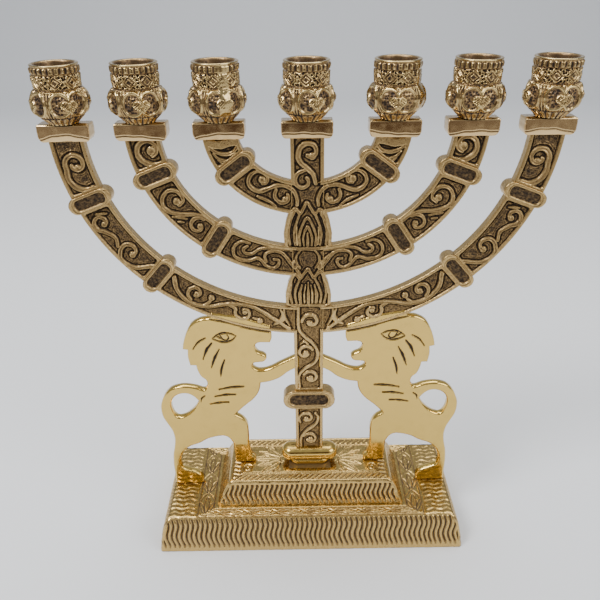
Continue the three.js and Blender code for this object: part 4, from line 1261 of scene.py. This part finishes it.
for thing in list(bpy.data.objects):
    if thing.type != "MESH" or "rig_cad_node" in thing:
        continue
    if thing.name.startswith("base_"):
        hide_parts("base")
    elif thing.name.startswith("cup_"):
        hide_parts("candle_" + thing.name)
    elif thing.name == "screw_base":
        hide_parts("base_screw")
    elif thing.name == "washer":
        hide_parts("base_washer")
    elif thing.name.startswith("screw_"):
        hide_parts("cup_" + thing.name)
    else:
        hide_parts("candelabrum")

# ---- floor, light and camera ----
def stage_material(name, colour, rough):
    material = bpy.data.materials.new(name)
    material.use_nodes = True
    shader = material.node_tree.nodes["Principled BSDF"]
    shader.inputs["Base Color"].default_value = (*colour, 1)
    shader.inputs["Roughness"].default_value = rough
    return material


def backdrop():
    """A floor that sweeps up into a wall behind."""
    depth, bend, height, half = 1.6, 0.5, 2.2, 3.0
    profile = [(-2.2, 0.0)]
    profile += [(depth - bend + bend * math.sin(a), bend - bend * math.cos(a))
                for a in np.linspace(0, math.pi / 2, 16)]
    profile.append((depth, height))
    verts = [(x, y, z - 0.0002) for y, z in profile for x in (-half, half)]
    faces = [(2 * k, 2 * k + 1, 2 * k + 3, 2 * k + 2) for k in range(len(profile) - 1)]
    mesh = bpy.data.meshes.new("backdrop")
    mesh.from_pydata(verts, [], faces)
    for face in mesh.polygons:
        face.use_smooth = True
    mesh.materials.append(stage_material("Pale backdrop", (0.67, 0.68, 0.695), 0.9))
    thing = bpy.data.objects.new("backdrop", mesh)
    bpy.context.scene.collection.objects.link(thing)


def soft_light(name, place, target, size, watts):
    data = bpy.data.lights.new(name, "AREA")
    data.shape = "RECTANGLE"
    data.size, data.size_y = size
    data.energy = watts
    lamp = bpy.data.objects.new(name, data)
    bpy.context.scene.collection.objects.link(lamp)
    lamp.location = place
    lamp.rotation_euler = (Vector(target) - Vector(place)).to_track_quat("-Z", "Y").to_euler()


def dim_front():
    """What the front of the metal mirrors beyond the floor: dark in the middle, paler to either side."""
    material = bpy.data.materials.new("Dim front")
    material.use_nodes = True
    tree = material.node_tree
    tree.nodes.remove(tree.nodes["Principled BSDF"])
    place = put(tree, "ShaderNodeTexCoord")
    parts = put(tree, "ShaderNodeSeparateXYZ")
    tree.links.new(place.outputs["Object"], parts.inputs[0])
    side = put(tree, "ShaderNodeMath", operation="ABSOLUTE")
    tree.links.new(parts.outputs[0], side.inputs[0])
    tone = ramp(tree, [(0.0, (0.10, 0.07, 0.06)), (0.14, (0.13, 0.095, 0.08)), (0.3, (0.30, 0.27, 0.27)),
                       (0.6, (0.44, 0.43, 0.43))])
    tree.links.new(side.outputs[0], tone.inputs[0])
    glow = put(tree, "ShaderNodeEmission")
    tree.links.new(tone.outputs[0], glow.inputs[0])
    tree.links.new(glow.outputs[0], tree.nodes["Material Output"].inputs[0])
    mesh = bpy.data.meshes.new("front card")
    corners = [(-1.2, -0.62, 0), (1.2, -0.62, 0), (1.2, -0.66, 0.42), (-1.2, -0.66, 0.42)]
    mesh.from_pydata(corners, [], [(0, 1, 2, 3)])
    mesh.materials.append(material)
    thing = bpy.data.objects.new("front card", mesh)
    bpy.context.scene.collection.objects.link(thing)
    # A glowing card hidden from the camera and seen only in the metal: a painted reflection.
    thing.visible_camera = False


backdrop()
dim_front()
soft_light("key", (-0.55, -0.35, 0.95), (0, 0, 0.12), (0.35, 0.35), 10)
soft_light("fill", (0.9, -0.6, 0.8), (0, 0, 0.1), (0.8, 0.8), 9)
soft_light("top", (0, 0.25, 1.3), (0, 0, 0.1), (1.2, 0.7), 15)

world = bpy.data.worlds.new("studio")
world.use_nodes = True
world.node_tree.nodes["Background"].inputs[0].default_value = (0.72, 0.75, 0.79, 1)
world.node_tree.nodes["Background"].inputs[1].default_value = 0.62
bpy.context.scene.world = world

CAMERA_PLACE = (-0.00447, -0.26428, 0.27921)
CAMERA_YAW, CAMERA_PITCH, CAMERA_ROLL = (math.radians(a) for a in (0.1165, 28.818, -0.834))
CAMERA_LENS = 38.21


def camera():
    data = bpy.data.cameras.new("camera")
    data.sensor_width = 36
    data.lens = CAMERA_LENS
    data.clip_start = 0.01
    thing = bpy.data.objects.new("camera", data)
    bpy.context.scene.collection.objects.link(thing)
    sy, cy = math.sin(CAMERA_YAW), math.cos(CAMERA_YAW)
    sp, cp = math.sin(CAMERA_PITCH), math.cos(CAMERA_PITCH)
    forward = Vector((sy * cp, cy * cp, -sp))
    level = Vector((cy, -sy, 0))
    upright = level.cross(forward)
    sr, cr = math.sin(CAMERA_ROLL), math.cos(CAMERA_ROLL)
    right = level * cr + upright * sr
    up = upright * cr - level * sr
    turn = Matrix((right, up, -forward)).transposed().to_4x4()
    thing.matrix_world = Matrix.Translation(CAMERA_PLACE) @ turn
    bpy.context.scene.camera = thing


camera()
